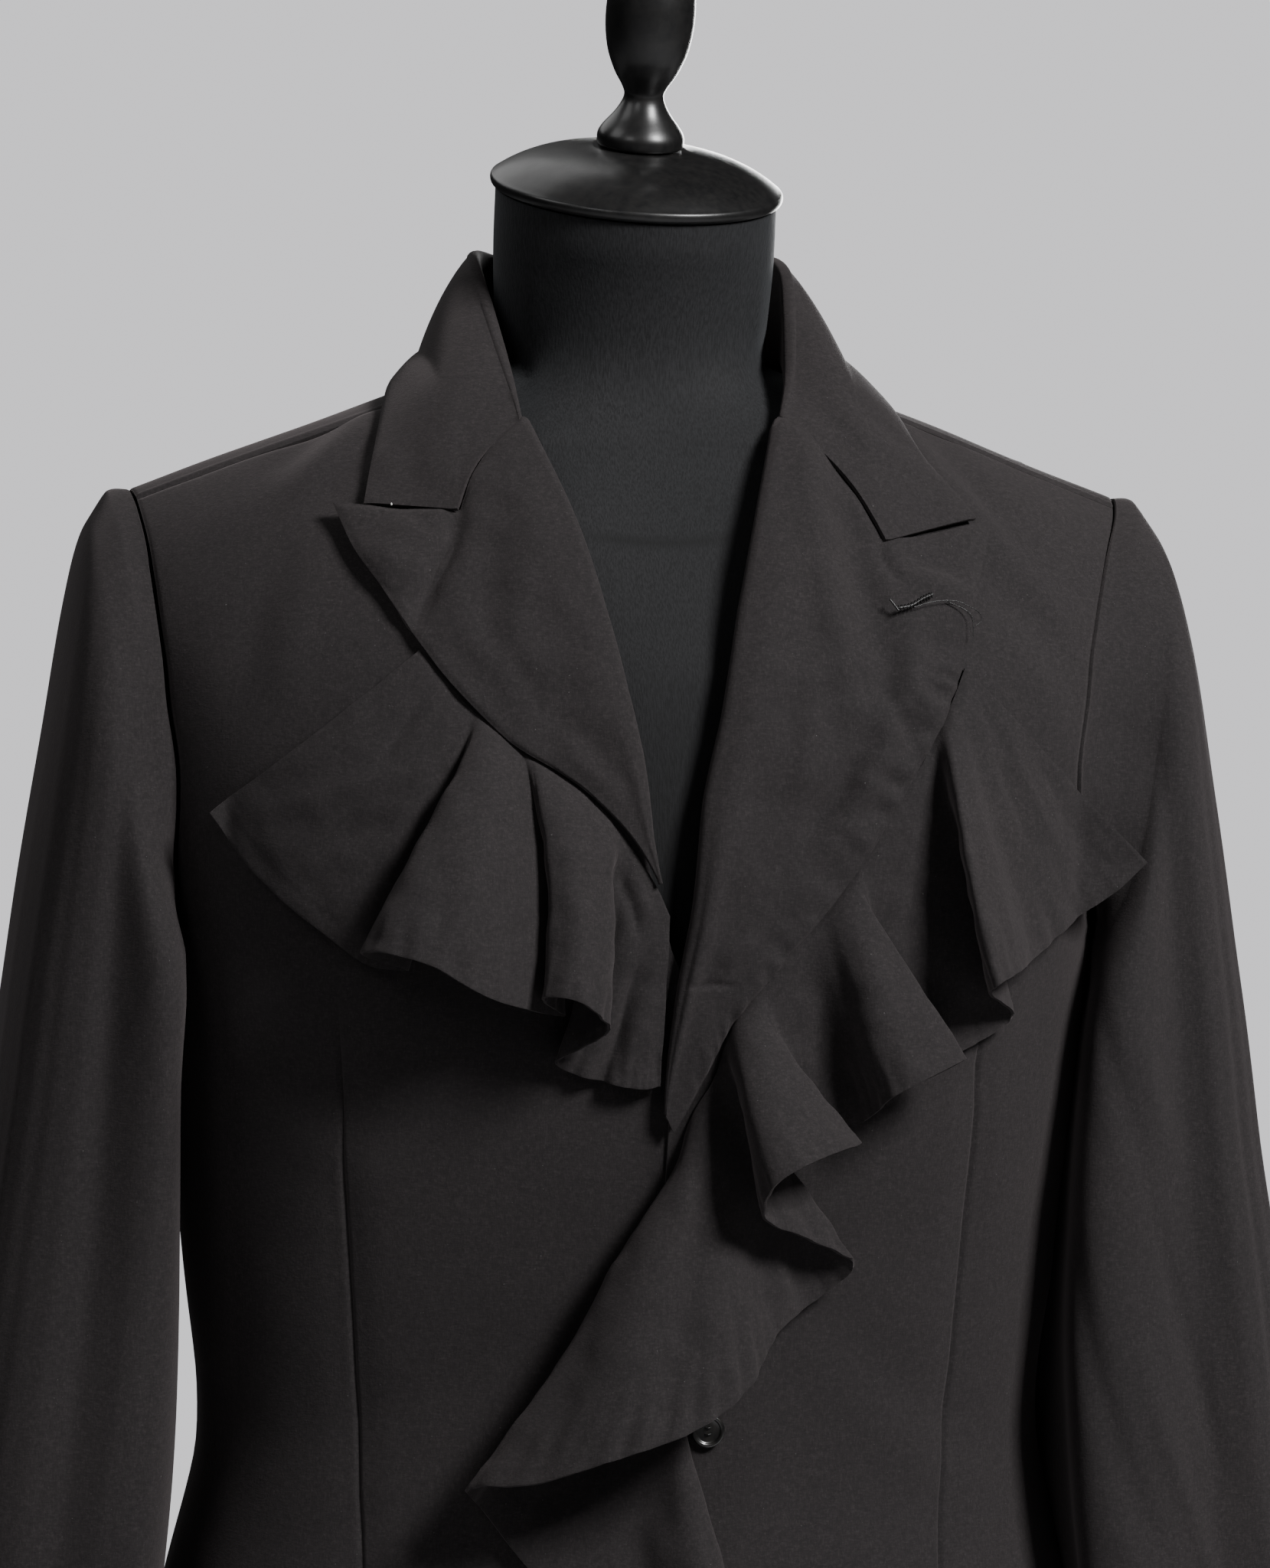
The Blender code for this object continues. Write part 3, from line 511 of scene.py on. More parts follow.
def makeJersey():
    look = jerseyLook
    material, tree, shader, place = newMaterial("black jersey")
    rib = noiseNode(tree, place, *look["ribNoise"])
    cloud = noiseNode(tree, place, *look["cloudNoise"])
    grain = noiseNode(tree, place, *look["grainNoise"])
    tone = rampNode(tree, rib, (0.35, look["dark"]), (0.65, look["light"]))
    tone = mixColour(tree, tone, look["worn"], rampNode(tree, grain, (0.5, 0.0), (0.8, 0.6)))
    tone = multiplyColour(tree, tone, rampNode(tree, cloud, *look["clouds"]))
    parts = tree.nodes.new("ShaderNodeSeparateXYZ")
    tree.links.new(place, parts.inputs[0])
    across, height = parts.outputs["X"], parts.outputs["Z"]
    # painted shade: darkens the jersey towards the bottom of the opening
    depth = mathNode(tree, "SUBTRACT", height, look["openingShadeFrom"])
    depth = mathNode(tree, "MULTIPLY", depth, look["openingShadeScale"])
    tone = multiplyColour(tree, tone, rampNode(tree, depth, *look["openingShade"]))
    # painted shade: a dark line along the fold under the throat
    sag = mathNode(tree, "MULTIPLY", across, mathNode(tree, "MULTIPLY", across, look["foldSag"]))
    level = mathNode(tree, "SUBTRACT", mathNode(tree, "SUBTRACT", height, look["foldHeight"]), sag)
    beside = rampNode(tree, mathNode(tree, "ABSOLUTE", level), (0.0, 1.0), (look["foldWidth"], 0.0))
    near, far = look["foldReach"]
    reach = rampNode(tree, mathNode(tree, "ABSOLUTE", across), (near, 1.0), (far, 0.0))
    tone = mixColour(tree, tone, look["creaseShade"], multiplyColour(tree, beside, reach))
    tree.links.new(tone, shader.inputs["Base Color"])
    normal = bumpNode(tree, rib, *look["ribBump"])
    normal = bumpNode(tree, grain, *look["grainBump"], normal)
    tree.links.new(normal, shader.inputs["Normal"])
    setFinish(shader, look["finish"])
    return material


def plainMaterial(name, look):
    # one noise gives the tone and the bump
    material, tree, shader, place = newMaterial(name)
    grain = noiseNode(tree, place, *look["noise"])
    tree.links.new(rampNode(tree, grain, *look["tones"]), shader.inputs["Base Color"])
    if "bump" in look:
        tree.links.new(bumpNode(tree, grain, *look["bump"]), shader.inputs["Normal"])
    if "dust" in look:
        rough = rampNode(tree, noiseNode(tree, place, *look["dustNoise"]), *look["dust"])
        tree.links.new(rough, shader.inputs["Roughness"])
    setFinish(shader, look["finish"])
    return material


def threadLook(colour, roughness):
    dim = tuple(part * 0.55 for part in colour)
    return {
        "noise": (2600.0, 2.0, 0.5, (1.0, 1.0, 0.4)),
        "tones": ((0.35, dim), (0.65, colour)),
        "bump": (0.0001, 0.6),
        "finish": {"Roughness": roughness, "Specular IOR Level": 0.30},
    }


lacquerLook = {
    "noise": (210.0, 5.0, 0.7),
    "tones": ((0.30, (0.0035, 0.0035, 0.0038)), (0.80, (0.011, 0.0105, 0.010))),
    "bump": (0.00015, 0.3),
    "dustNoise": (30.0, 4.0),
    "dust": ((0.35, 0.30), (0.75, 0.44)),
    "finish": {"Specular IOR Level": 0.38, "Coat Weight": 0.10, "Coat Roughness": 0.15},
}

hornLook = {
    "noise": (420.0, 4.0, 0.6, (1.0, 1.0, 0.35)),
    "tones": ((0.35, 0.003), (0.70, (0.012, 0.011, 0.010))),
    "bump": (0.0001, 0.25),
    "finish": {"Roughness": 0.28, "Coat Weight": 0.3},
}

floorLook = {
    "noise": (3.0, 4.0),
    "tones": ((0.3, (0.50, 0.50, 0.51)), (0.7, (0.55, 0.55, 0.56))),
    "finish": {"Roughness": 0.75},
}

blackWool = makeWool()
blackJersey = makeJersey()
blackLacquer = plainMaterial("black lacquer", lacquerLook)
silkThread = plainMaterial("black silk thread", threadLook((0.014, 0.0135, 0.0135), 0.36))
bastingThread = plainMaterial("white basting thread", threadLook((0.75, 0.74, 0.70), 0.7))
darkHorn = plainMaterial("dark horn", hornLook)
paleFloor = plainMaterial("pale floor", floorLook)
print("materials made")


# Fronts

fronts = {
    "wall": 0.0018,
    "columns": 104,
    "rows": 132,
    "rowEase": 0.6,
    "armholeTrim": 0.0006,
    "sideTrim": 0.0011,
    "edgeInset": 0.004,
    "neckInset": 0.020,
    "lap": 0.0024,
    "neckFrom": 8.4,
    "lapBeside": (0.030, 0.040),
    "lapBelow": (1.235, 0.050),
    # metres for each radian round, and from hem to shoulder
    "span": 0.20,
    "tall": 0.64,
    # lift and size of the cloth's slight waves
    "waves": ((0.0008, 0.055), (0.0004, 0.022)),
    "leftEdge": metres((
        (790, -3), (1100, -3), (1150, -2), (1180, 2), (1223, 10), (1271, 15),
        (1305, 23), (1351, 32), (1387, 41), (1426, 53), (1445, 66), (1470, 82),
    )),
    "rightEdge": metres((
        (790, -24), (1080, -24), (1120, -22), (1160, -16), (1200, -4), (1233, 7),
        (1255, 13), (1291, 19), (1317, 25), (1351, 33), (1389, 44), (1429, 59),
        (1450, 70), (1470, 82),
    )),
    "dartShare": 0.56,
    "dartTop": 1.185,
    "dartEase": 0.88,
    "dartFade": 0.03,
    # depth and width of the seam and of the dip round it, then the ridge beside it
    "dartDips": ((0.0012, 0.0011), (0.0016, 0.011)),
    "dartRidge": (0.0004, 0.004),
    # height, how far outward from the middle
    "leftDart": metres(((800, 130), (935, 127), (1025, 133), (1126, 139), (1200, 141), (1460, 150))),
    "rightDart": metres(((800, 129), (941, 127), (1022, 130), (1141, 138), (1200, 141), (1460, 150))),
    # lift, width, then the line's points: how far outward from the middle, and height
    "leftFolds": metres((
        (-2.2, 6.5, (131, 1424), (150, 1398), (168, 1376)),
        (1.8, 6, (118, 1424), (140, 1398), (158, 1372)),
        (-1.6, 5, (110, 1412), (117, 1398), (124, 1384)),
        (1.4, 5, (121, 1416), (128, 1402), (134, 1388)),
        (-2.6, 8, (138, 1372), (158, 1352), (180, 1330)),
        (1.8, 7, (150, 1378), (168, 1358), (186, 1340)),
        (1.6, 8, (150, 1340), (168, 1316), (178, 1290)),
        (-1.6, 10, (60, 1060), (100, 1020), (150, 990)),
        (1.4, 10, (70, 1030), (110, 985), (160, 960)),
        (-1.8, 10, (180, 1190), (160, 1160), (120, 1140)),
        (2, 16, (100, 940), (106, 880), (108, 812)),
    )),
    "rightFolds": metres((
        (2.4, 6, (103, 1449), (128, 1424), (160, 1395)),
        (-1.8, 5.5, (112, 1446), (136, 1428), (168, 1404)),
        (-2, 6, (118, 1424), (132, 1408), (150, 1385)),
        (1.6, 9, (140, 1385), (158, 1350), (166, 1310)),
        (-1.8, 9, (156, 1378), (172, 1350), (180, 1318)),
        (-1.8, 11, (176, 1180), (150, 1150), (110, 1130)),
        (1.6, 11, (180, 1160), (155, 1128), (115, 1104)),
        (-1.6, 10, (60, 1045), (100, 1015), (160, 990)),
        (1.4, 10, (50, 1015), (100, 980), (165, 960)),
        (2.2, 17, (95, 950), (100, 880), (104, 812)),
        (-1.8, 15, (50, 930), (56, 870), (60, 812)),
    )),
}


def lapRaise(across, height):
    # the wearer's left front laps over the right one
    beside = 1.0 - ease(across, *fronts["lapBeside"])
    return fronts["lap"] * beside * (1.0 - ease(height, *fronts["lapBelow"]))


def makeFront(sideName):
    look, side = fronts, sides[sideName]
    edgeRows, dartRows = look[sideName + "Edge"], look[sideName + "Dart"]
    span, tall, split = look["span"], look["tall"], look["dartShare"]

    def place(column, row):
        share = edgeEase(column if side > 0 else 1.0 - column)
        rise = edgeEase(row, look["rowEase"])
        section = rise * body["shoulderSeam"]
        inner = edgeAngle(edgeRows, section) + look["edgeInset"]
        inner += look["neckInset"] * smoothStep(section - look["neckFrom"])
        if section > body["underarm"]:
            outer = armholeAngle(section, 1, side) - look["armholeTrim"]
        else:
            outer = body["sideSeam"] - look["sideTrim"]
        # the columns pack together along the dart, which runs on upward as a plain line
        dart = angleFor(section, rowAt(dartRows, bodySection(section)[0])[1])
        dart = min(dart, inner + 0.75 * (outer - inner))
        if share < split:
            angle = inner + (dart - inner) * edgeEase(share / split, look["dartEase"])
        else:
            angle = dart + (outer - dart) * edgeEase((share - split) / (1.0 - split), look["dartEase"])
        flat = bodyRing(section, angle)
        out = lapRaise(flat.x, flat.z) if side > 0 else 0.0
        out += foldLift(look[sideName + "Folds"], flat.x, flat.z)
        for lift, size in look["waves"]:
            out += lift * ripple(flat.x * side, flat.y, flat.z, size)
        out += seamRoll(min((outer - angle) * span, (angle - inner) * span, rise * tall, (1.0 - rise) * tall))
        below = smoothStep((look["dartTop"] - flat.z) / look["dartFade"])
        away = (angle - dart) * span
        out -= below * sum(depth * bell(away, width) for depth, width in look["dartDips"])
        ridge, width = look["dartRidge"]
        out += below * ridge * smoothStep(1.0 - abs(away - width) / width)
        return mirrored(bodyPoint(section, angle, out), side)

    return clothPiece("front_" + sideName, look["columns"], look["rows"], place, look["wall"])


frontLeft = makeFront("left")
frontRight = makeFront("right")


# Back

backs = {
    "wall": 0.0018,
    "columns": 76,
    "rows": 140,
    "seamShare": 0.006,
    "sideTrim": 0.0011,
    # the armhole's edge, past the sleeve's seam line
    "armholeLap": 0.008,
    "neckRadius": 0.0675,
    # its width, and its length from hem to shoulder seam
    "span": 0.21,
    "tall": 0.68,
    # the left back's folds lie this much further in, so that the two backs differ
    "leftShift": 0.004,
    "centreGap": 0.0006,
    "wave": (0.0007, 0.055),
    # the pressed seam allowance: lift, how far its middle lies from the shoulder seam, half its width
    "allowance": (0.0004, 0.0055, 0.0040),
    "folds": metres((
        (-2.2, 10, (4, 1060), (60, 1020), (150, 1000)),
        (2, 12, (4, 1030), (60, 992), (150, 975)),
        (-1.8, 12, (170, 1210), (140, 1160), (90, 1120)),
        (1.8, 12, (176, 1260), (150, 1220), (100, 1180)),
        (-2, 14, (165, 1390), (158, 1330), (162, 1270)),
        (2.4, 18, (100, 960), (108, 880), (110, 812)),
        (-1.8, 16, (52, 930), (58, 870), (60, 812)),
        (1.4, 10, (30, 1430), (80, 1400), (140, 1385)),
    )),
}


def makeBack(sideName):
    look, side = backs, sides[sideName]
    span, tall = look["span"], look["tall"]
    ridge = body["ridge"]
    top = 2 * ridge - body["shoulderSeam"] - look["seamShare"]

    def place(column, row):
        share = edgeEase(column if side < 0 else 1.0 - column)
        section = edgeEase(row, fronts["rowEase"]) * top
        folded = min(section, 2 * ridge - section)
        if section > ridge:
            outer = armholeAngle(folded, 1, side) - fronts["armholeTrim"]
        elif section > body["underarm"]:
            outer = armholeAngle(section, 2, side) + look["armholeLap"]
        else:
            outer = math.pi - body["sideSeam"] - look["sideTrim"]
        opening = look["neckRadius"] ** 2 - bodySection(folded)[3] ** 2
        inner = max(look["centreGap"], angleFor(folded, math.sqrt(max(opening, 0.0))))
        if section > ridge:
            inner = max(inner, edgeAngle(fronts["rightEdge"], folded))
        angle = inner + (outer - inner) * share
        if section <= ridge:
            angle = math.pi - angle
        flat = bodyRing(folded, angle)
        across = abs(flat.x) + (look["leftShift"] if side > 0 else 0.0)
        out = foldLift(look["folds"], across, flat.z) if section < ridge else 0.0
        lift, size = look["wave"]
        out += lift * ripple(flat.x * side, flat.y, flat.z, size)
        rise = section / top
        toSeam = (1.0 - rise) * tall
        out += seamRoll(min(share * span, (1.0 - share) * span, rise * tall, toSeam))
        # the seam allowance lies pressed towards the back
        lift, middle, width = look["allowance"]
        out += lift * smoothStep(1.0 - abs(toSeam - middle) / width)
        return mirrored(bodyPoint(folded, angle, out), side)

    return clothPiece("back_" + sideName, look["columns"], look["rows"], place, look["wall"])


backLeft = makeBack("left")
backRight = makeBack("right")


# Sleeves

sleeves = {
    "wall": 0.0018,
    "columns": 144,
    "rows": 170,
    "rowEase": 0.7,
    "headShare": 0.075,
    "headPower": 1.8,
    "headRound": 0.55,
    "headPuff": 0.0022,
    "tuck": 0.0028,
    "seamGap": 0.0013,
    "flatFront": 0.40,
    # share of the fall over which the tuck and the folds fade at the seam
    "tuckFade": 0.010,
    "foldFade": 0.12,
    "wave": (0.0010, 0.060),
    # the sleeve's length, then depth and width of the roll at its hem
    "hem": (0.6, 0.0008, 0.003),
    # folds stay flat where the sleeve faces the body: degrees, and the length of the change
    "hiddenFrom": (112, 20),
    "hiddenLift": 0.0006,
    # turn and width of the inner side's reach and of the swell behind it
    "reachAt": (2.72, 0.50),
    "swellAt": (3.80, 0.45),
    "frontPower": 1.5,
    "backPower": 5.0,
    # how far the inner side's back swells towards the body
    "leftBackReach": 0.024,
    "rightBackReach": 0.008,
    # position down the sections, how far its inner side lies forward, and inward
    "leftReach": (
        (-1.0, 0.020, 0.004), (0.0, 0.034, 0.010), (1.5, 0.045, 0.015), (3.0, 0.047, 0.019),
        (5.0, 0.047, 0.020), (7.0, 0.045, 0.020), (9.0, 0.040, 0.016),
    ),
    "rightReach": (
        (-1.0, 0.020, 0.006), (0.0, 0.040, 0.011), (1.5, 0.046, 0.011), (3.0, 0.042, 0.007),
        (5.0, 0.034, 0.003), (7.0, 0.026, 0.000), (9.0, 0.020, 0.000),
    ),
    # outer profile across, height; inner profile across, height; front y, back y
    "sections": metres((
        (233, 1393.5, 211, 1199, -66, 72),
        (242, 1378, 211.2, 1187, -71, 77),
        (249, 1348, 210, 1170, -74, 80),
        (257, 1300, 208.5, 1138, -74, 80),
        (270, 1220, 206, 1090, -74, 77),
        (283, 1130, 204, 1040, -75, 71),
        (294, 1050, 204, 995, -79, 61),
        (304, 960, 208, 930, -84, 48),
        (312, 880, 218.5, 862, -88, 34),
        (320, 810, 226.5, 805, -90, 22),
    )),
    "girth": 0.075,
    # lift and width in mm, then the line's points: degrees from the outer side over the front, height in mm
    "leftFolds": (
        (2.4, 5, (26, 1372), (30, 1260), (31, 1140), (30, 1000), (28, 830)),
        (-2, 7, (46, 1360), (50, 1260), (50, 1140), (47, 1000), (44, 850)),
        (1.8, 10, (70, 1300), (72, 1180), (70, 1060), (66, 900)),
        (3.4, 7, (152, 1112), (140, 1070), (122, 1010), (104, 950), (92, 900)),
        (-3, 7.5, (158, 1085), (148, 1030), (134, 970), (118, 910)),
        (-2.4, 8, (128, 1120), (112, 1070), (96, 1010), (84, 960)),
        (2.6, 8, (150, 1220), (128, 1170), (110, 1130), (96, 1100)),
        (-2.2, 7, (154, 1190), (134, 1140), (118, 1100)),
        (2.4, 9, (140, 960), (120, 900), (104, 840)),
        (-2.6, 13, (-40, 1130), (-80, 1090), (-120, 1080)),
        (2.6, 13, (-30, 1080), (-80, 1045), (-125, 1050)),
        (-2.2, 12, (-60, 1010), (-100, 985), (-140, 1000)),
        (2, 14, (-20, 1330), (-50, 1270), (-70, 1200)),
    ),
    "rightFolds": (
        (1.3, 5, (30, 1370), (36, 1260), (38, 1140), (34, 1000), (28, 830)),
        (-1.1, 7, (50, 1360), (55, 1260), (56, 1150), (50, 1000), (44, 850)),
        (0.8, 3.5, (16, 1300), (18, 1180), (18, 1060), (14, 920)),
        (1, 9, (74, 1320), (78, 1200), (76, 1080), (70, 940), (66, 850)),
        (-1.1, 9, (96, 1200), (98, 1100), (92, 980), (86, 880)),
        (1.2, 8, (118, 1140), (116, 1050), (108, 950), (100, 860)),
        (-1.2, 8, (138, 1120), (134, 1040), (126, 940)),
        (1.1, 8, (148, 1230), (126, 1190), (104, 1160)),
        (-2.6, 13, (-40, 1110), (-80, 1075), (-120, 1070)),
        (2.6, 13, (-30, 1060), (-84, 1030), (-125, 1030)),
        (-2, 12, (-60, 990), (-100, 970), (-140, 985)),
        (1.8, 14, (-24, 1320), (-50, 1260), (-74, 1190)),
    ),
}


def armholeLoop(side, count, outward):
    # evenly spaced points round the armhole, from the shoulder down the front
    fine = []
    steps = 120
    reach = body["ridge"] - body["underarm"]
    for step in range(steps):
        section = body["ridge"] - reach * step / steps
        fine.append(bodyRing(section, armholeAngle(section, 1, side)))
    for step in range(steps):
        section = body["underarm"] + reach * step / steps
        fine.append(bodyRing(section, math.pi - armholeAngle(section, 2, side)))
    fine.append(fine[0].copy())
    lengths = [0.0]
    for start, end in zip(fine, fine[1:]):
        lengths.append(lengths[-1] + (end - start).length)
    loop = []
    index = 0
    for number in range(count):
        target = lengths[-1] * number / count
        while lengths[index + 1] < target:
            index += 1
        share = (target - lengths[index]) / (lengths[index + 1] - lengths[index])
        loop.append(fine[index].lerp(fine[index + 1], share) + Vector((outward, 0, 0)))
    return loop


def sleeveRing(position, turn, out, sideName):
    row = blendRows(sleeves["sections"], position)
    outer, inner = Vector((row[0], 0, row[1])), Vector((row[2], 0, row[3]))
    middle, half = (outer + inner) / 2, (outer - inner) / 2
    sine = math.sin(turn)
    # the front of a sleeve hangs flatter than its back
    if sine > 0:
        sine += sleeves["flatFront"] * smoothStep(position / 3) * sine * math.cos(turn) ** 2
    y = (row[4] + row[5]) / 2 + sine * (row[4] - row[5]) / 2
    # its inner side lies forward, over the armhole
    forward, reach = rowAt(sleeves[sideName + "Reach"], position)[1:3]
    y -= forward * max(-math.cos(turn), 0.0) ** sleeves["frontPower" if turn < math.pi else "backPower"]
    middleTurn, width = sleeves["reachAt"]
    reach *= bell(turn - middleTurn, width)
    middleTurn, width = sleeves["swellAt"]
    reach += sleeves[sideName + "BackReach"] * bell(turn - middleTurn, width) * smoothStep(position / 3)
    sway = half.normalized() * math.cos(turn) + Vector((0, -1, 0)) * math.sin(turn)
    return middle + half * math.cos(turn) + Vector((-reach, y, 0)) + sway * out


def makeSleeve(sideName):
    look, side = sleeves, sides[sideName]
    columns, girth = look["columns"], look["girth"]
    loop = armholeLoop(side, columns, look["seamGap"])
    last = len(look["sections"]) - 1.0
    headStart = look["headShare"] * 0.6
    tall, hemDepth, hemWidth = look["hem"]
    wave, waveSize = look["wave"]
    # the folds' lines, with metres round the sleeve for degrees
    radian = 57.3
    folds = []
    for lift, width, *line in look[sideName + "Folds"]:
        points = [(degrees / radian * girth, metres(height)) for degrees, height in line]
        folds.append((metres(lift), metres(width), *points))

    def place(column, row):
        share = column if side > 0 else 1.0 - column
        index = round(share * columns) % columns
        turn = 2 * math.pi * index / columns
        fall = edgeEase(row, look["rowEase"])
        position = max(fall - headStart, 0.0) / (1.0 - headStart) * last
        ring = sleeveRing(position, turn, 0.0, sideName)
        degrees = math.degrees(turn if turn < math.pi else turn - 2 * math.pi)
        out = foldLift(folds, degrees / radian * girth, ring.z)
        out += wave * ripple(ring.x * side, ring.y, ring.z, waveSize)
        out += seamRoll((1.0 - fall) * tall, hemDepth, hemWidth)
        out += (min(out, look["hiddenLift"]) - out) * ease(abs(degrees), *look["hiddenFrom"])
        out *= smoothStep(fall / look["foldFade"])
        point = sleeveRing(position, turn, out, sideName)
        rise = fall / (look["headShare"] * 1.5)
        if rise < 1.0:
            # the head rounds over from the armhole's seam
            blend = 1.0 - (1.0 - rise) ** look["headPower"]
            seam = loop[index]
            puff = look["headPuff"] * arch(blend) * max(math.cos(turn), 0.0)
            point = Vector((seam.x + (point.x - seam.x) * blend,
                            seam.y + (point.y - seam.y) * blend ** look["headRound"],
                            seam.z + (point.z - seam.z) * blend))
            point.x += puff
            point.z += puff
            # the edge is tucked in under the back
            behind = smoothStep(-math.sin(turn) * 4)
            point.x -= look["tuck"] * (1.0 - smoothStep(fall / look["tuckFade"])) * behind
        return mirrored(point, side)

    return clothPiece("sleeve_" + sideName, columns, look["rows"], place, look["wall"], tube=True)


sleeveLeft = makeSleeve("left")
sleeveRight = makeSleeve("right")


# Collar

collarLook = {
    "wall": 0.0020,
    "columns": 168,
    "rows": 46,
    "out": 0.0048,
    "roll": 0.0030,
    "stand": 0.046,
    "seat": 0.0006,
    "gorgeBow": 0.0042,
    "crown": 0.0055,
    "crownFoot": 0.0016,
    "bulge": 0.0022,
    "cornerDip": 0.0014,
    "bowFade": 0.7,
    # the rows' shares at which the stand and the roll end
    "standEnd": 0.26,
    "rollEnd": 0.44,
    # the fall's width, then depth and width of the roll at its edge
    "hem": (0.07, 0.0007, 0.0025),
    # roll edge across, y, height; notch across, height; corner across, height
    "leftEnd": (0.0540, -0.0705, 1.4330, 0.0948, 1.3782, 0.1394, 1.3880),
    "rightEnd": (0.0590, -0.0710, 1.4315, 0.0882, 1.3897, 0.1262, 1.3918),
    # roll edge across, y, height; middle across, section; outer edge across, section
    "stations": (
        (0.0610, -0.0500, 1.4520, 0.086, 9.35, 0.1195, 9.45),
        (0.0660, -0.0240, 1.4810, 0.086, 10.10, 0.1130, 10.20),
        (0.0685, 0.0000, 1.5000, 0.086, 11.00, 0.1060, 11.00),
        (0.0640, 0.0270, 1.5060, 0.080, 12.00, 0.0960, 12.10),
        (0.0490, 0.0500, 1.5040, 0.062, 12.70, 0.0760, 12.90),
        (0.0260, 0.0650, 1.5020, 0.034, 12.85, 0.0420, 13.15),
        (0.0000, 0.0695, 1.5010, 0.000, 12.90, 0.0000, 13.25),
    ),
    # lift, width, then the line's points: side times station, and share of the fall
    "folds": (
        (0.0010, 0.10, (-0.9, 0.55), (-0.55, 0.62), (-0.2, 0.58)),
        (-0.0010, 0.09, (-0.9, 0.72), (-0.5, 0.76), (-0.15, 0.72)),
        (0.0009, 0.08, (-1.0, 0.92), (-0.6, 0.88), (-0.3, 0.84)),
        (0.0012, 0.14, (1.0, 0.25), (0.8, 0.60), (0.5, 0.90)),
        (-0.0010, 0.12, (1.5, 0.35), (1.2, 0.65), (0.9, 0.95)),
        (0.0010, 0.16, (3.6, 0.40), (3.8, 0.95)),
        (-0.0010, 0.16, (5.2, 0.35), (5.0, 0.95)),
    ),
}


def makeCollar():
    look = collarLook
    last = float(len(look["stations"]))
    standEnd, rollEnd = look["standEnd"], look["rollEnd"]
    width, hemDepth, hemWidth = look["hem"]
    ends = {}
    for sideName, side in sides.items():
        end = look[sideName + "End"]
        ends[side] = ((*end[0:4], sectionFor(*end[3:5]), end[5], sectionFor(*end[5:7])),) + look["stations"]

    def place(column, row):
        side = -1.0 if column < 0.5 else 1.0
        along = 1.0 - abs(column - 0.5) * 2
        station = last * (along ** 1.25)
        values = blendRows(ends[side], station)
        roll = Vector(values[0:3])
        inward = Vector((-roll.x, -roll.y, 0)).normalized()
        full = smoothStep(station / 1.5)
        radius = look["roll"] * (0.55 + 0.45 * full)
        centre = roll - Vector((0, 0, radius)) - inward * radius * 0.3
        if row < standEnd:
            # the stand
            point = centre + inward * radius
            seat = surfaceHeight(point.x, point.y) + look["seat"]
            foot = min(max(point.z - look["stand"], seat), point.z - 0.0015)
            point.z = foot + (point.z - foot) * row / standEnd
            return mirrored(point, side)
        if row < rollEnd:
            # the roll over its top
            turn = math.pi * (row - standEnd) / (rollEnd - standEnd)
            away = inward * math.cos(turn) + Vector((0, 0, 1)) * math.sin(turn)
            return mirrored(centre + away * radius, side)
        # the fall
        share = (row - rollEnd) / (1.0 - rollEnd)
        share = share + 0.10 * math.sin(2 * math.pi * share) / math.pi
        top = centre - inward * radius
        middle = shoulderPoint(values[3], values[4], look["out"] + look["bulge"] * full)
        outer = shoulderPoint(values[5], values[6], look["out"])
        if share < 0.5:
            point = top.lerp(middle, share * 2)
        else:
            point = middle.lerp(outer, share * 2 - 1)
        # the gorge seam bows outward, and the lapel's top follows it
        bow = look["gorgeBow"] * arch(min(share * 2, 1.0)) * (1.0 - smoothStep(station / look["bowFade"]))
        point += Vector((bow, 0, bow * 0.6))
        outward = (-inward + Vector((0, 0, 1.2))).normalized()
        lift = foldLift(look["folds"], side * station, share)
        lift += seamRoll((1.0 - share) * width, hemDepth, hemWidth)
        crown = (look["crownFoot"] + look["crown"] * ease(station, 0.4, 1.4)) * arch(share ** 0.8)
        crown *= smoothStep(station * 2)
        dip = look["cornerDip"] * smoothStep(1.0 - station / 0.5) * ease(share, 0.7, 0.3)
        return mirrored(point + outward * (lift + crown) + Vector((0, -dip, 0)), side)

    return clothPiece("collar", look["columns"], look["rows"], place, look["wall"])


collarPiece = makeCollar()


# Lapels

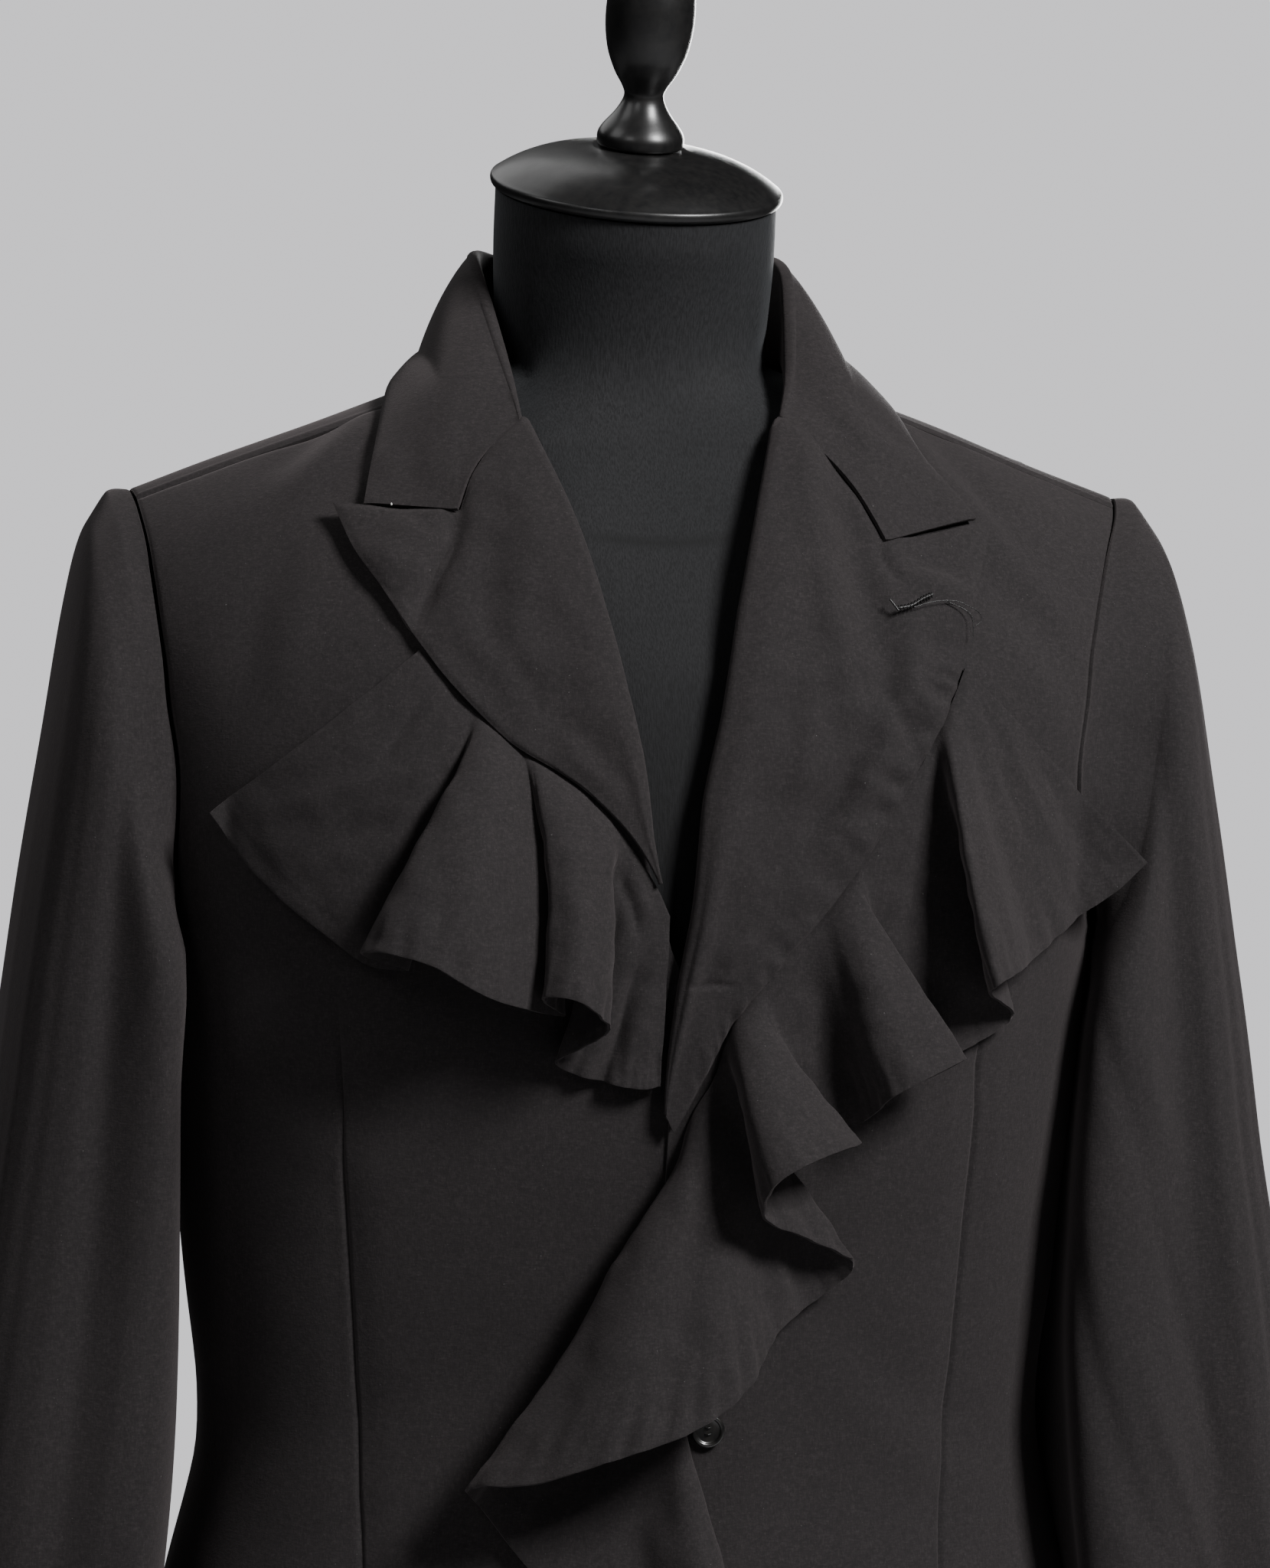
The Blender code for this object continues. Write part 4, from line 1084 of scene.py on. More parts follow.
lapels = {
    "wall": 0.0020,
    "columns": 64,
    "rows": 280,
    "out": 0.0052,
    "roll": 0.0032,
    "rollShare": 0.15,
    "columnEase": 0.45,
    "rowEase": 0.6,
    "notchShare": 0.42,
    # how much less the top bows than the collar's gorge seam, and how far it spreads downward
    "gorgeTrim": 0.0013,
    "sagPower": 5,
    # share of the roll line at which the cloth starts, and at which it is fully open
    "leftStart": 0.045,
    "rightStart": 0.05,
    "openFrom": 0.30,
    "inset": 0.0012,
    "width": 0.09,
    # depth and width of the roll at its edge
    "hem": (0.0008, 0.0024),
    "wave": (0.0011, 0.035),
    # the cloth swells beside the roll, and stands off a little at the peak
    "leftSwell": 0.0030,
    "rightSwell": 0.0012,
    "swellAt": (0.12, 0.16),
    "peakLift": 0.0034,
    "leftPucker": 0.0026,
    "rightPucker": 0.0005,
    "puckerReach": 0.016,
    "puckerSize": 0.0068,
    "crumple": (0.0011, 0.014),
    "leftEdge": metres((
        (-2, 1125), (6, 1138), (15, 1156), (27, 1179), (50, 1206), (77, 1238),
        (98, 1270), (119, 1305), (128, 1326), (135, 1356), (146, 1385),
    )),
    "rightEdge": metres((
        (4, 1226), (18, 1251), (33, 1268), (51, 1282), (72, 1295), (94, 1317),
        (107, 1334), (120, 1354), (132, 1372), (139, 1390),
    )),
    "leftTop": (0.0535, 1.4300),
    "rightTop": (0.0590, 1.4285),
    "leftNotch": (0.0950, 1.3790),
    "rightNotch": (0.0886, 1.3901),
    "leftFolds": metres((
        (-4, 8.5, (76, 1436), (78, 1398), (83, 1364), (91, 1335), (96, 1305)),
        (3.3, 8, (62, 1420), (64, 1380), (70, 1340), (78, 1300)),
        (-2.6, 2, (94.5, 1380), (94.5, 1373), (97, 1366), (102, 1360)),
        (2.3, 6, (100, 1366), (118, 1360), (132, 1352)),
        (-1.7, 4, (104, 1371), (120, 1366), (134, 1362)),
        (-2.3, 5, (129, 1338), (127, 1318), (121, 1300)),
        (2, 6, (50, 1260), (56, 1290), (60, 1330)),
        (-2, 6, (36, 1236), (60, 1262), (78, 1292)),
        (2.9, 5.5, (62, 1246), (80, 1272), (96, 1304), (108, 1340)),
        (-2.3, 4.5, (56, 1252), (72, 1276), (86, 1302)),
        (1.9, 4, (100, 1326), (108, 1312), (116, 1304)),
        (-2, 3.5, (92, 1318), (100, 1300), (106, 1290)),
        (2, 3.5, (20, 1200), (26, 1208), (34, 1214)),
        (-1.4, 1.2, (5, 1193), (16, 1194), (27, 1193)),
    )),
    "rightFolds": metres((
        (-6, 4.2, (87.5, 1395), (93, 1376), (101, 1361), (112, 1340)),
        (3, 10, (104, 1384), (116, 1370), (124, 1358)),
        (1.4, 9, (60, 1400), (64, 1360), (62, 1320)),
        (-1.2, 8, (76, 1392), (80, 1360), (78, 1330)),
        (-1.2, 6, (70, 1330), (60, 1310), (40, 1300)),
        (1.4, 6, (90, 1346), (80, 1326), (60, 1312)),
        (1.2, 5, (52, 1300), (40, 1284), (24, 1270)),
    )),
}


def makeLapel(sideName):
    look, side = lapels, sides[sideName]
    edgeRows, outerRows = fronts[sideName + "Edge"], look[sideName + "Edge"]
    low, top = outerRows[0][1], look[sideName + "Top"]
    notch, start = Vector(look[sideName + "Notch"]), look[sideName + "Start"]
    last = len(outerRows) - 1.0
    rollShare, notchShare = look["rollShare"], look["notchShare"]
    run = (outerRows[-1][1] - low) * 1.2
    wave, waveSize = look["wave"]
    swellMiddle, swellWidth = look["swellAt"]

    def rollLine(row):
        height = low + (top[1] - low) * row
        return Vector((edgeAcross(edgeRows, height), height))

    def flatPoint(share, row):
        inner = rollLine(row)
        outer = Vector(blendRows(outerRows, row * last))
        topInner, topOuter = rollLine(1.0), Vector(outerRows[-1])
        if share < notchShare:
            along = share / notchShare
            level = topInner.lerp(notch, along)
            level += Vector((1.0, 0.6)) * (collarLook["gorgeBow"] - look["gorgeTrim"]) * arch(along)
        else:
            along = (share - notchShare) / (1 - notchShare)
            level = notch.lerp(topOuter, along)
            level.y -= 0.0006 * arch(along)
        sag = level - topInner.lerp(topOuter, share)
        return inner.lerp(outer, share) + sag * row ** look["sagPower"]

    def shares(column, row):
        across = edgeEase(column if side > 0 else 1.0 - column, look["columnEase"])
        along = start + edgeEase(row, look["rowEase"]) * (1.0 - start)
        return across, along, smoothStep(along / look["openFrom"])

    def place(column, row):
        share, along, opened = shares(column, row)
        if share < rollShare:
            # round the roll, from inside the front
            turn = math.pi * (1.0 - share / rollShare)
            flat = flatPoint(0.0, along)
            inward = look["roll"] * math.sin(turn) * (0.05 + 0.95 * opened)
            lift = (1.0 + math.cos(turn)) / 2
            foot = (-fronts["wall"] / 2) * opened + (look["out"] - look["inset"]) * (1.0 - opened)
            out = foot + (look["out"] - foot) * lift
            spread = 0.0
        else:
            spread = (share - rollShare) / (1.0 - rollShare)
            flat = flatPoint(spread, along)
            inward = 0.0
            out = look["out"]
        swell = look[sideName + "Swell"] * bell(spread - swellMiddle, swellWidth)
        out += swell * opened * smoothStep(share / rollShare - 0.5)
        out += look["peakLift"] * ease(spread, 0.55, 0.45) * ease(along, 0.72, 0.28)
        out += foldLift(look[sideName + "Folds"], flat.x, flat.y) * ease(share, rollShare, 0.08)
        out += wave * ripple(flat.x, 0.0, flat.y, waveSize) * opened
        out += seamRoll(min((1.0 - spread) * look["width"] * opened, (1.0 - along) * run), *look["hem"])
        if side > 0:
            out += lapRaise(flat.x, flat.y)
        point = frontPoint(flat.x, flat.y, out)
        point.x -= inward + look["inset"]
        return mirrored(point, side)

    def relief(column, row, point):
        # the ruffle's seam draws short puckers into the edge
        share, along, opened = shares(column, row)
        spread = (share - rollShare) / (1.0 - rollShare)
        if spread < 0.05:
            return 0.0
        near = (1.0 - spread) * look["width"] * opened
        reach = look["puckerReach"] * (0.6 + 0.8 * abs(ripple(along * run, 0.0, 9.0, 0.021)) * 2)
        lift = look[sideName + "Pucker"] * ripple(along * run, near * 0.20, 5.0, look["puckerSize"])
        lift *= bell(near, reach) * smoothStep((0.86 - along) / 0.10)
        lift *= 0.35 + 0.65 * smoothStep(near / 0.003)
        crumple, size = look["crumple"]
        lift += crumple * ripple(*point, size) * smoothStep(spread * 4)
        return lift * ease(along, 0.10, 0.20)

    return clothPiece("lapel_" + sideName, look["columns"], look["rows"], place, look["wall"], relief)


lapelLeft = makeLapel("left")
lapelRight = makeLapel("right")


# Ruffles

ruffles = {
    "wall": 0.0013,
    "seamOut": 0.0013,
    "foldRise": 0.7,
    "chestTurn": 0.185,
    # the last quarter of the rows stands closer, along the hem
    "hemRows": 0.25,
    "hemShare": 0.88,
    "depth": 0.080,
    "leftColumns": 480,
    "rightColumns": 260,
    "rows": 40,
    "leftRun": 0.96,
    "rightRun": 0.36,
    # the narrow stitched hem: depth, how far from the edge, width
    "hemStitch": (0.00016, 0.0046, 0.0008),
    # the puckers that it draws: lift, size, how far from the edge, width
    "hemPucker": (0.0010, 0.0052, 0.004, 0.012),
    # lift and size of broad and of fine waves
    "drape": (0.0013, 0.020),
    "crumple": (0.0009, 0.011),
    "rightSeam": metres((
        (-107, 1333), (-84, 1306), (-51, 1282), (-29, 1263), (-11, 1238), (-3, 1222),
    )),
    "leftSeam": metres((
        (129, 1326), (119, 1305), (98, 1270), (74, 1234), (50, 1206), (27, 1179),
        (18, 1154), (6, 1127), (4, 1080), (4, 950), (4, 812),
    )),
    # share of the seam, hem across, hem height, stand-off from the chest (mm)
    "rightFolds": (
        (0.000, -193, 1263, 5), (0.060, -171, 1234, 10), (0.150, -141, 1209, 13), (0.195, -129, 1201, 10),
        (0.222, -113, 1199, 5), (0.250, -134, 1207, 30), (0.280, -129, 1210, 46), (0.312, -109, 1205, 48),
        (0.335, -86, 1192, 40), (0.355, -66, 1185, 27), (0.375, -49, 1181, 14), (0.400, -58, 1187, 24),
        (0.430, -60, 1191, 33), (0.540, -48, 1190, 39), (0.670, -36, 1182, 33), (0.705, -32, 1175, 22),
        (0.735, -42, 1167, 15), (0.758, -51, 1161, 10), (0.785, -44, 1156, 6), (0.830, -27, 1151, 9),
        (0.900, -14, 1149, 7), (1.000, -6, 1150, 5),
    ),
    "leftFolds": (
        (0.000, 216, 1241, 9), (0.009, 200, 1227, 11), (0.018, 180, 1215, 14), (0.028, 160, 1203, 20),
        (0.038, 145, 1198, 37), (0.048, 134, 1194, 45), (0.058, 135, 1189, 30), (0.072, 152, 1176, 9),
        (0.092, 138, 1166, 4), (0.130, 118, 1157, 5), (0.166, 99, 1148, 6), (0.180, 104, 1149, 15),
        (0.192, 125, 1161, 27), (0.203, 104, 1154, 36), (0.214, 90, 1146, 32), (0.228, 85, 1137, 18),
        (0.252, 79, 1131, 7), (0.288, 64, 1127, 8), (0.302, 66, 1127, 18), (0.314, 77, 1127, 32),
        (0.326, 56, 1123, 47), (0.336, 37, 1113, 48), (0.345, 35, 1097, 35), (0.355, 57, 1085, 24),
        (0.366, 80, 1072, 15), (0.378, 67, 1057, 6), (0.388, 46, 1044, 16), (0.398, 31, 1024, 33),
        (0.408, 7, 1009, 47), (0.422, -26, 998, 51), (0.436, -62, 986, 45), (0.450, -86, 981, 29),
        (0.468, -77, 967, 9), (0.510, -52, 936, 4), (0.560, -22, 914, 12), (0.600, 6, 902, 28),
        (0.640, 32, 894, 29), (0.675, 44, 884, 21), (0.710, 38, 872, 9), (0.770, 26, 858, 6),
        (0.840, 24, 846, 12), (0.900, 20, 838, 17), (0.950, 15, 830, 10), (1.000, 9, 818, 5),
    ),
    # a fold's line bows sideways between seam and hem: share of the seam, width, sideways
    "rightBows": ((0.43, 0.09, 0.0040), (0.27, 0.03, -0.0025)),
    "leftBows": ((0.048, 0.012, -0.0035), (0.330, 0.014, -0.0030), (0.436, 0.030, 0.0040)),
    # stronger puckers along the hem: share of the seam, width, lift
    "rightPuckers": ((0.33, 0.08, 0.0008), (0.86, 0.08, 0.0008)),
    "leftPuckers": ((0.43, 0.035, 0.0022), (0.27, 0.03, 0.0006)),
    # lift, width, then the line's points: across, height
    "rightCreases": metres((
        (1.4, 5, (-168, 1262), (-140, 1276), (-112, 1282)),
        (-1.2, 4.5, (-158, 1246), (-134, 1258), (-108, 1262)),
        (1.3, 5.5, (-150, 1222), (-118, 1258), (-98, 1288)),
        (-1.4, 2.2, (-26, 1246), (-29, 1234), (-31, 1222)),
        (1.4, 3, (-20, 1236), (-22, 1220), (-26, 1206)),
        (-5.6, 4.6, (-16, 1204), (-23, 1176), (-32, 1150), (-37, 1132)),
        (-2.4, 2.2, (-27, 1244), (-21, 1230), (-16, 1214)),
        (2, 2.2, (-21, 1244), (-15, 1230), (-10, 1220)),
        (-1.8, 3, (-100, 1320), (-118, 1296), (-126, 1280)),
        (-1.3, 3, (-118, 1222), (-120, 1208), (-124, 1200)),
    )),
    "leftCreases": metres((
        (1.2, 3, (136, 1316), (142, 1286), (160, 1244)),
        (-1.2, 3, (144, 1312), (152, 1284), (176, 1240)),
        (1.2, 4, (156, 1296), (172, 1270), (190, 1244)),
        (-1.6, 6, (84, 1208), (82, 1180), (78, 1150)),
        (1.2, 5, (92, 1196), (98, 1176), (106, 1160)),
        (3.6, 10, (24, 1130), (6, 1086), (-6, 1000)),
        (-2, 4.2, (40, 1096), (46, 1072), (52, 1040)),
        (-4.2, 13, (8, 1116), (-20, 1056), (-38, 992)),
        (1.2, 6, (-30, 1066), (-44, 1030), (-62, 992)),
        (2, 7, (6, 990), (12, 950), (20, 905)),
        (-2, 7, (-14, 975), (-12, 950), (-6, 915)),
    )),
}


def seamCurve(rows, share):
    lengths = runLengths(rows)
    return blendRows(rows, rowPosition([(length,) for length in lengths], lengths[-1] * share))


def chestY(across, height):
    near = math.copysign(min(abs(across), ruffles["chestTurn"]), across)
    return frontPoint(near, height).y


def makeRuffle(sideName):
    look, side = ruffles, sides[sideName]
    seamRows, foldRows = look[sideName + "Seam"], look[sideName + "Folds"]
    columns, run = look[sideName + "Columns"], look[sideName + "Run"]
    last = len(foldRows) - 1.0
    hemShare, seamOut, bodyRows = look["hemShare"], look["seamOut"], 1.0 - look["hemRows"]
    stitch, stitchAt, stitchWidth = look["hemStitch"]
    pucker, puckerSize, puckerAt, puckerWidth = look["hemPucker"]
    drape, drapeSize = look["drape"]
    crumple, crumpleSize = look["crumple"]

    def fallAt(row):
        fall = 1.0 - row
        if fall < bodyRows:
            return fall / bodyRows * hemShare
        return hemShare + (fall - bodyRows) / look["hemRows"] * (1 - hemShare)

    def place(column, row):
        fall = fallAt(row)
        share, hemAcross, hemHeight, standOff = blendRows(foldRows, column * last)
        across, height = seamCurve(seamRows, min(max(share, 0.0), 1.0))
        across += (hemAcross / 1000 - across) * fall
        height += (hemHeight / 1000 - height) * fall
        for middle, width, bow in look[sideName + "Bows"]:
            across += bow * bell(share - middle, width) * arch(fall ** 1.2)
        out = max(seamOut + (standOff / 1000 - seamOut) * fall ** look["foldRise"], seamOut)
        if side > 0:
            out += lapRaise(across, height)
        return Vector((across, chestY(across, height) - out, height))

    def relief(column, row, point):
        # a narrow stitched hem, the puckers that it draws, and the cloth's own creases
        fall = fallAt(row)
        fromHem = (1.0 - fall) * look["depth"]
        lift = -stitch * bell(fromHem - stitchAt, stitchWidth)
        share = blendRows(foldRows, column * last)[0]
        strength = pucker
        for middle, width, extra in look[sideName + "Puckers"]:
            strength += extra * bell(share - middle, width)
        strength *= ripple(column * run, fromHem * 0.15, 3.0, puckerSize)
        lift += strength * bell(fromHem - puckerAt, puckerWidth)
        waves = ripple(column * run, fall * look["depth"] * 0.45, 7.0, drapeSize)
        lift += drape * waves * fall * smoothStep((1.0 - fall) * 5)
        lift += crumple * ripple(*point, crumpleSize)
        return (lift + foldLift(look[sideName + "Creases"], point.x, point.z)) * smoothStep(fall * 4)

    return clothPiece("ruffle_" + sideName, columns, look["rows"], place, look["wall"], relief, offset=0.0)


ruffleLeft = makeRuffle("left")
ruffleRight = makeRuffle("right")


# The dress form

form = {
    "columns": 112,
    "rows": 110,
    "creaseAngle": math.radians(50),
    # the throat, where the neck flows into the chest: half width, y, lowest and highest point
    "throat": (0.05, -0.03, 1.33, 1.50),
    "clearance": 0.0065,
    "wall": 0.0016,
    "shoulderClearance": 0.0012,
    "shoulderEase": 0.09,
    "neckBase": Vector((0.0, 0.002, 1.452)),
    "neckTop": Vector((0.0, -0.012, 1.530)),
    "neckRadius": 0.0625,
    "capTilt": math.radians(15),
    "capLean": math.radians(1.5),
    "throatPasses": 140,
    # height, share of the full width, share of the full depth
    "rings": (
        (0.755, 0.86, 0.84), (0.762, 0.94, 0.93), (0.785, 0.985, 0.98), (0.860, 1.0, 1.0), (0.915, 1.0, 1.0),
        (0.950, 1.0, 1.0), (0.985, 1.0, 1.0), (1.020, 1.0, 1.0), (1.060, 1.0, 1.0), (1.130, 0.99, 1.0),
        (1.195, 0.965, 1.0), (1.235, 0.950, 1.0), (1.280, 0.945, 1.0), (1.330, 0.945, 0.99),
        (1.385, 0.945, 0.985), (1.415, 0.945, 0.98),
    ),
    # half width, depth in front, depth behind
    "shoulderRings": metres((
        (190, 70, 84), (150, 67, 81), (112, 64, 78), (67, 58, 60),
    )),
    # share of the way up the neck, share of its radius
    "neckRings": ((0.10, 0.95), (0.30, 0.965), (0.65, 0.99), (1.00, 0.99)),
}


def capFrame(lift):
    tilt = Matrix.Rotation(form["capLean"], 4, "Y") @ Matrix.Rotation(form["capTilt"], 4, "X")
    return Matrix.Translation(form["neckTop"]) @ tilt @ Matrix.Translation((0, 0, lift))


def formRings(angle):
    # the points that one upright line of the form runs through
    line = []
    lowest = body["sections"][0][0]
    for height, widthShare, depthShare in form["rings"]:
        section = rowPosition(body["sections"], max(height, lowest))
        point = bodyPoint(section, angle, -form["wall"] - form["clearance"])
        line.append((point.x * widthShare, point.y * depthShare, height if height < lowest else point.z))
    inside = form["wall"] + form["shoulderClearance"]
    for halfWidth, front, back in form["shoulderRings"]:
        depth = front if math.cos(angle) > 0 else back
        across, y = halfWidth * math.sin(angle), -depth * math.cos(angle)
        line.append((across, y, surfaceHeight(across, y) - inside - abs(y) * form["shoulderEase"]))
    tilt = capFrame(0.0).to_3x3()
    for share, scale in form["neckRings"]:
        centre = form["neckBase"].lerp(form["neckTop"], share)
        flat = Vector((math.sin(angle), -math.cos(angle), 0)) * form["neckRadius"] * scale
        line.append(tuple(centre + flat.lerp(tilt @ flat, share)))
    return line


def makeForm():
    columns, rows = form["columns"], form["rows"]
    lines = [formRings(2 * math.pi * column / columns) for column in range(columns)]
    last = len(lines[0]) - 1.0
    bm = bmesh.new()
    bmesh.ops.create_grid(bm, x_segments=columns, y_segments=rows, size=0.5)
    for vertex in bm.verts:
        index = round((vertex.co.x + 0.5) * columns) % columns
        vertex.co = Vector(blendRows(lines[index], (vertex.co.y + 0.5) * last))
    mergeDoubles(bm)
    halfWidth, front, low, high = form["throat"]
    throat = [v for v in bm.verts if abs(v.co.x) < halfWidth and v.co.y < front and low < v.co.z < high]
    for _ in range(form["throatPasses"]):
        bmesh.ops.smooth_vert(bm, verts=throat, factor=0.5, use_axis_x=True, use_axis_y=True, use_axis_z=True)
    closeHoles(bm)
    piece = addPiece("dress_form_torso", bm, blackJersey, "form_torso")
    piece.data.set_sharp_from_angle(angle=form["creaseAngle"])
    print("dress form made")


makeForm()


# Turned wood

turnedWood = {
    "capSegments": 128,
    "creaseAngle": math.radians(42),
    "capSeat": 0.0004,
    "capHeight": 0.0212,
    "cap": metres((
        (0, 60), (0.6, 62.8), (1.6, 64), (3.4, 64.5), (5, 64.1),
        (6, 62.8), (8.5, 59.2), (12, 53), (15.5, 44.5), (18.2, 34),
        (20, 24), (20.8, 20.5),
    )),
    "finialHeight": 0.100,
    "finial": (
        (0.000, 0.0180), (0.006, 0.0188), (0.020, 0.0191), (0.050, 0.0190), (0.085, 0.0172), (0.150, 0.0120),
        (0.215, 0.0088), (0.260, 0.0098), (0.330, 0.0140), (0.430, 0.0178), (0.560, 0.0195), (0.700, 0.0186),
        (0.840, 0.0148), (0.940, 0.0088), (0.985, 0.0040), (1.000, 0.0000),
    ),
    "base": metres((
        (0, 188.5), (1, 189.8), (8, 190), (12, 187.5), (14, 184), (17, 172),
        (22, 120), (28, 60), (36, 34), (48, 26), (54, 22), (55, 20.5),
    )),
    "poleRadius": 0.014,
    "poleEdge": 0.001,
    "poleMiddle": 0.40,
    "baseHeight": 0.055,
    "gap": 0.0003,
    "formHem": 0.755,
}


def turnedPiece(name, nodeName, profile, segments, place, smooth=4):
    # profile: height and radius, from the foot up
    fine = [blendRows(profile, number / smooth) for number in range((len(profile) - 1) * smooth + 1)]
    bm = bmesh.new()
    points = [bm.verts.new((max(radius, 0.0), 0, height)) for height, radius in fine]
    edges = [bm.edges.new(pair) for pair in zip(points, points[1:])]
    bmesh.ops.spin(bm, geom=points + edges, cent=(0, 0, 0), axis=(0, 0, 1),
                   angle=2 * math.pi, steps=segments, use_merge=True)
    mergeDoubles(bm)
    closeHoles(bm)
    bmesh.ops.transform(bm, matrix=place, verts=bm.verts)
    piece = addPiece(name, bm, blackLacquer, nodeName)
    piece.data.set_sharp_from_angle(angle=turnedWood["creaseAngle"])
    return piece


def makeWood():
    look = turnedWood
    turnedPiece("neck_cap_turned", "neck_cap", look["cap"], look["capSegments"], capFrame(look["capSeat"]))
    finialRows = [(share * look["finialHeight"], radius) for share, radius in look["finial"]]
    finialSeat = look["capSeat"] + look["capHeight"] + look["gap"]
    turnedPiece("finial_turned", "finial", finialRows, 96, capFrame(finialSeat))
    radius, edge = look["poleRadius"], look["poleEdge"]
    low, high = look["baseHeight"] + look["gap"], look["formHem"] - look["gap"]
    poleRows = (
        (low, radius - edge), (low + edge, radius), (look["poleMiddle"], radius),
        (high - edge, radius), (high, radius - edge),
    )
    turnedPiece("stand_pole_turned", "stand_pole", poleRows, 64, Matrix.Identity(4), 3)
    turnedPiece("stand_base_turned", "stand_base", look["base"], 128, Matrix.Identity(4))
    print("turned wood made")


makeWood()


# Button, buttonhole and loose threads

trims = {
    "buttonHeight": 1.000,
    "buttonAcross": 0.019,
    "buttonRadius": 0.0074,
    # height over the button's seat, and radius as a share of the full one
    "buttonProfile": (
        (-0.0014, 0.0), (-0.0014, 0.80), (-0.0008, 0.96), (0.0000, 1.0), (0.0009, 0.97),
        (0.0014, 0.88), (0.0012, 0.76), (0.0006, 0.62), (0.0005, 0.0),
    ),
    "buttonSeat": 0.0025,
    "holeSpacing": 0.0014,
    "stitchRadius": 0.00035,
    "threadOut": 0.0040,
    "threadLoose": 0.0016,
    "gimpOut": 0.0036,
    "gimpRadius": 0.00055,
    "barRadius": 0.00045,
    # the purl stitches: turns, radius, swing sideways, distance out, swing outward
    "purl": (11, 0.00022, 0.0010, 0.0034, 0.0008),
    "bastingOut": 0.0100,
    "bastingRadius": 0.00032,
    "threadRadius": 0.00020,
    # across, height on the wearer's left lapel
    "holeBar": metres(((92.5, 1352.5), (96, 1348))),
    "holeRoll": metres(((96.2, 1349), (102, 1350), (107.5, 1352.8), (112, 1354.5))),
    "looseEnds": metres((
        ((103, 1349.2), (112, 1351.2), (121, 1351.2), (127, 1349), (132, 1346.2), (133, 1343.2),
         (130.8, 1341.5)),
        ((118, 1351.4), (125, 1347.8), (128.5, 1344), (129.2, 1337)),
    )),
    "basting": (-0.1140, 1.3885),
}


def tubePiece(name, line, radius, material):
    curve = bpy.data.curves.new(name, "CURVE")
    curve.dimensions = "3D"
    curve.bevel_depth = radius
    curve.bevel_resolution = 2
    curve.use_fill_caps = True
    spline = curve.splines.new("POLY")
    spline.points.add(len(line) - 1)
    for point, place in zip(spline.points, line):
        point.co = (*place, 1.0)
    maker = bpy.data.objects.new(name, curve)
    bpy.context.scene.collection.objects.link(maker)
    mesh = bpy.data.meshes.new_from_object(maker)
    bpy.data.objects.remove(maker, do_unlink=True)
    bm = bmesh.new()
    bm.from_mesh(mesh)
    bpy.data.meshes.remove(mesh)
    return addPiece(name, bm, material, None)


def smoothLine(points, steps=8):
    return [Vector(blendRows(points, number / steps)) for number in range((len(points) - 1) * steps + 1)]


def onLapel(across, height, out):
    return frontPoint(across, height, lapels["out"] + out)


def makeButtonhole():
    look = trims
    for number, line in enumerate(look["looseEnds"], start=1):
        points = []
        flats = smoothLine(line)
        for index, flat in enumerate(flats):
            loose = look["threadLoose"] * arch(index / (len(flats) - 1))
            points.append(onLapel(flat.x, flat.y, look["threadOut"] + loose))
        name = "buttonhole_loose_thread_%d" % number
        tubePiece(name, points, look["threadRadius"], silkThread)
    # purl stitches wind round a gimp along the buttonhole
    turns, radius, sideways, out, outward = look["purl"]
    coil = []
    spine = smoothLine(look["holeRoll"], 40)
    for index, flat in enumerate(spine):
        turn = 2 * math.pi * turns * index / (len(spine) - 1)
        swing = Vector((-0.35, 1.0)) * sideways * math.cos(turn)
        coil.append(onLapel(flat.x + swing.x, flat.y + swing.y, out + outward * math.sin(turn)))
    tubePiece("buttonhole_purl", coil, radius, silkThread)
    for name, flats, radius in (("buttonhole_gimp", spine[::8], look["gimpRadius"]),
                                ("buttonhole_bar", smoothLine(look["holeBar"], 6), look["barRadius"])):
        points = [onLapel(flat.x, flat.y, look["gimpOut"]) for flat in flats]
        tubePiece(name, points, radius, silkThread)
    across, height = look["basting"]
    dot = [frontPoint(-across, height + step * 0.0004, look["bastingOut"]) for step in (-1, 0, 1)]
    points = [mirrored(point, sides["right"]) for point in dot]
    tubePiece("basting_stitch", points, look["bastingRadius"], bastingThread)


def makeButton():
    look = trims
    profile = [(height, look["buttonRadius"] * share) for height, share in look["buttonProfile"]]
    seat = frontPoint(look["buttonAcross"], look["buttonHeight"], fronts["lap"] + look["buttonSeat"])
    face = Matrix.Translation(seat) @ Matrix.Rotation(math.radians(90), 4, "X")
    button = turnedPiece("blazer_button", "button", profile, 48, face, 3)
    button.data.materials.clear()
    button.data.materials.append(darkHorn)
    spacing = look["holeSpacing"]
    for number, (x, z) in enumerate(((-1, -1), (1, -1), (-1, 1), (1, 1)), start=1):
        start = face @ Vector((x * spacing, z * spacing, 0.0002))
        end = face @ Vector((x * -0.0002, z * spacing, 0.0014))
        points = [start, (start + end) / 2 + Vector((0, -0.0005, 0)), end]
        tubePiece("button_thread_%d" % number, points, look["stitchRadius"], silkThread)


makeButtonhole()
makeButton()
print("trims made")


# Cut sizes of the cloth

def clothArea(piece):
    bm = bmesh.new()
    bm.from_mesh(piece.data)
    area = sum(face.calc_area() for face in bm.faces)
    bm.free()
    return area


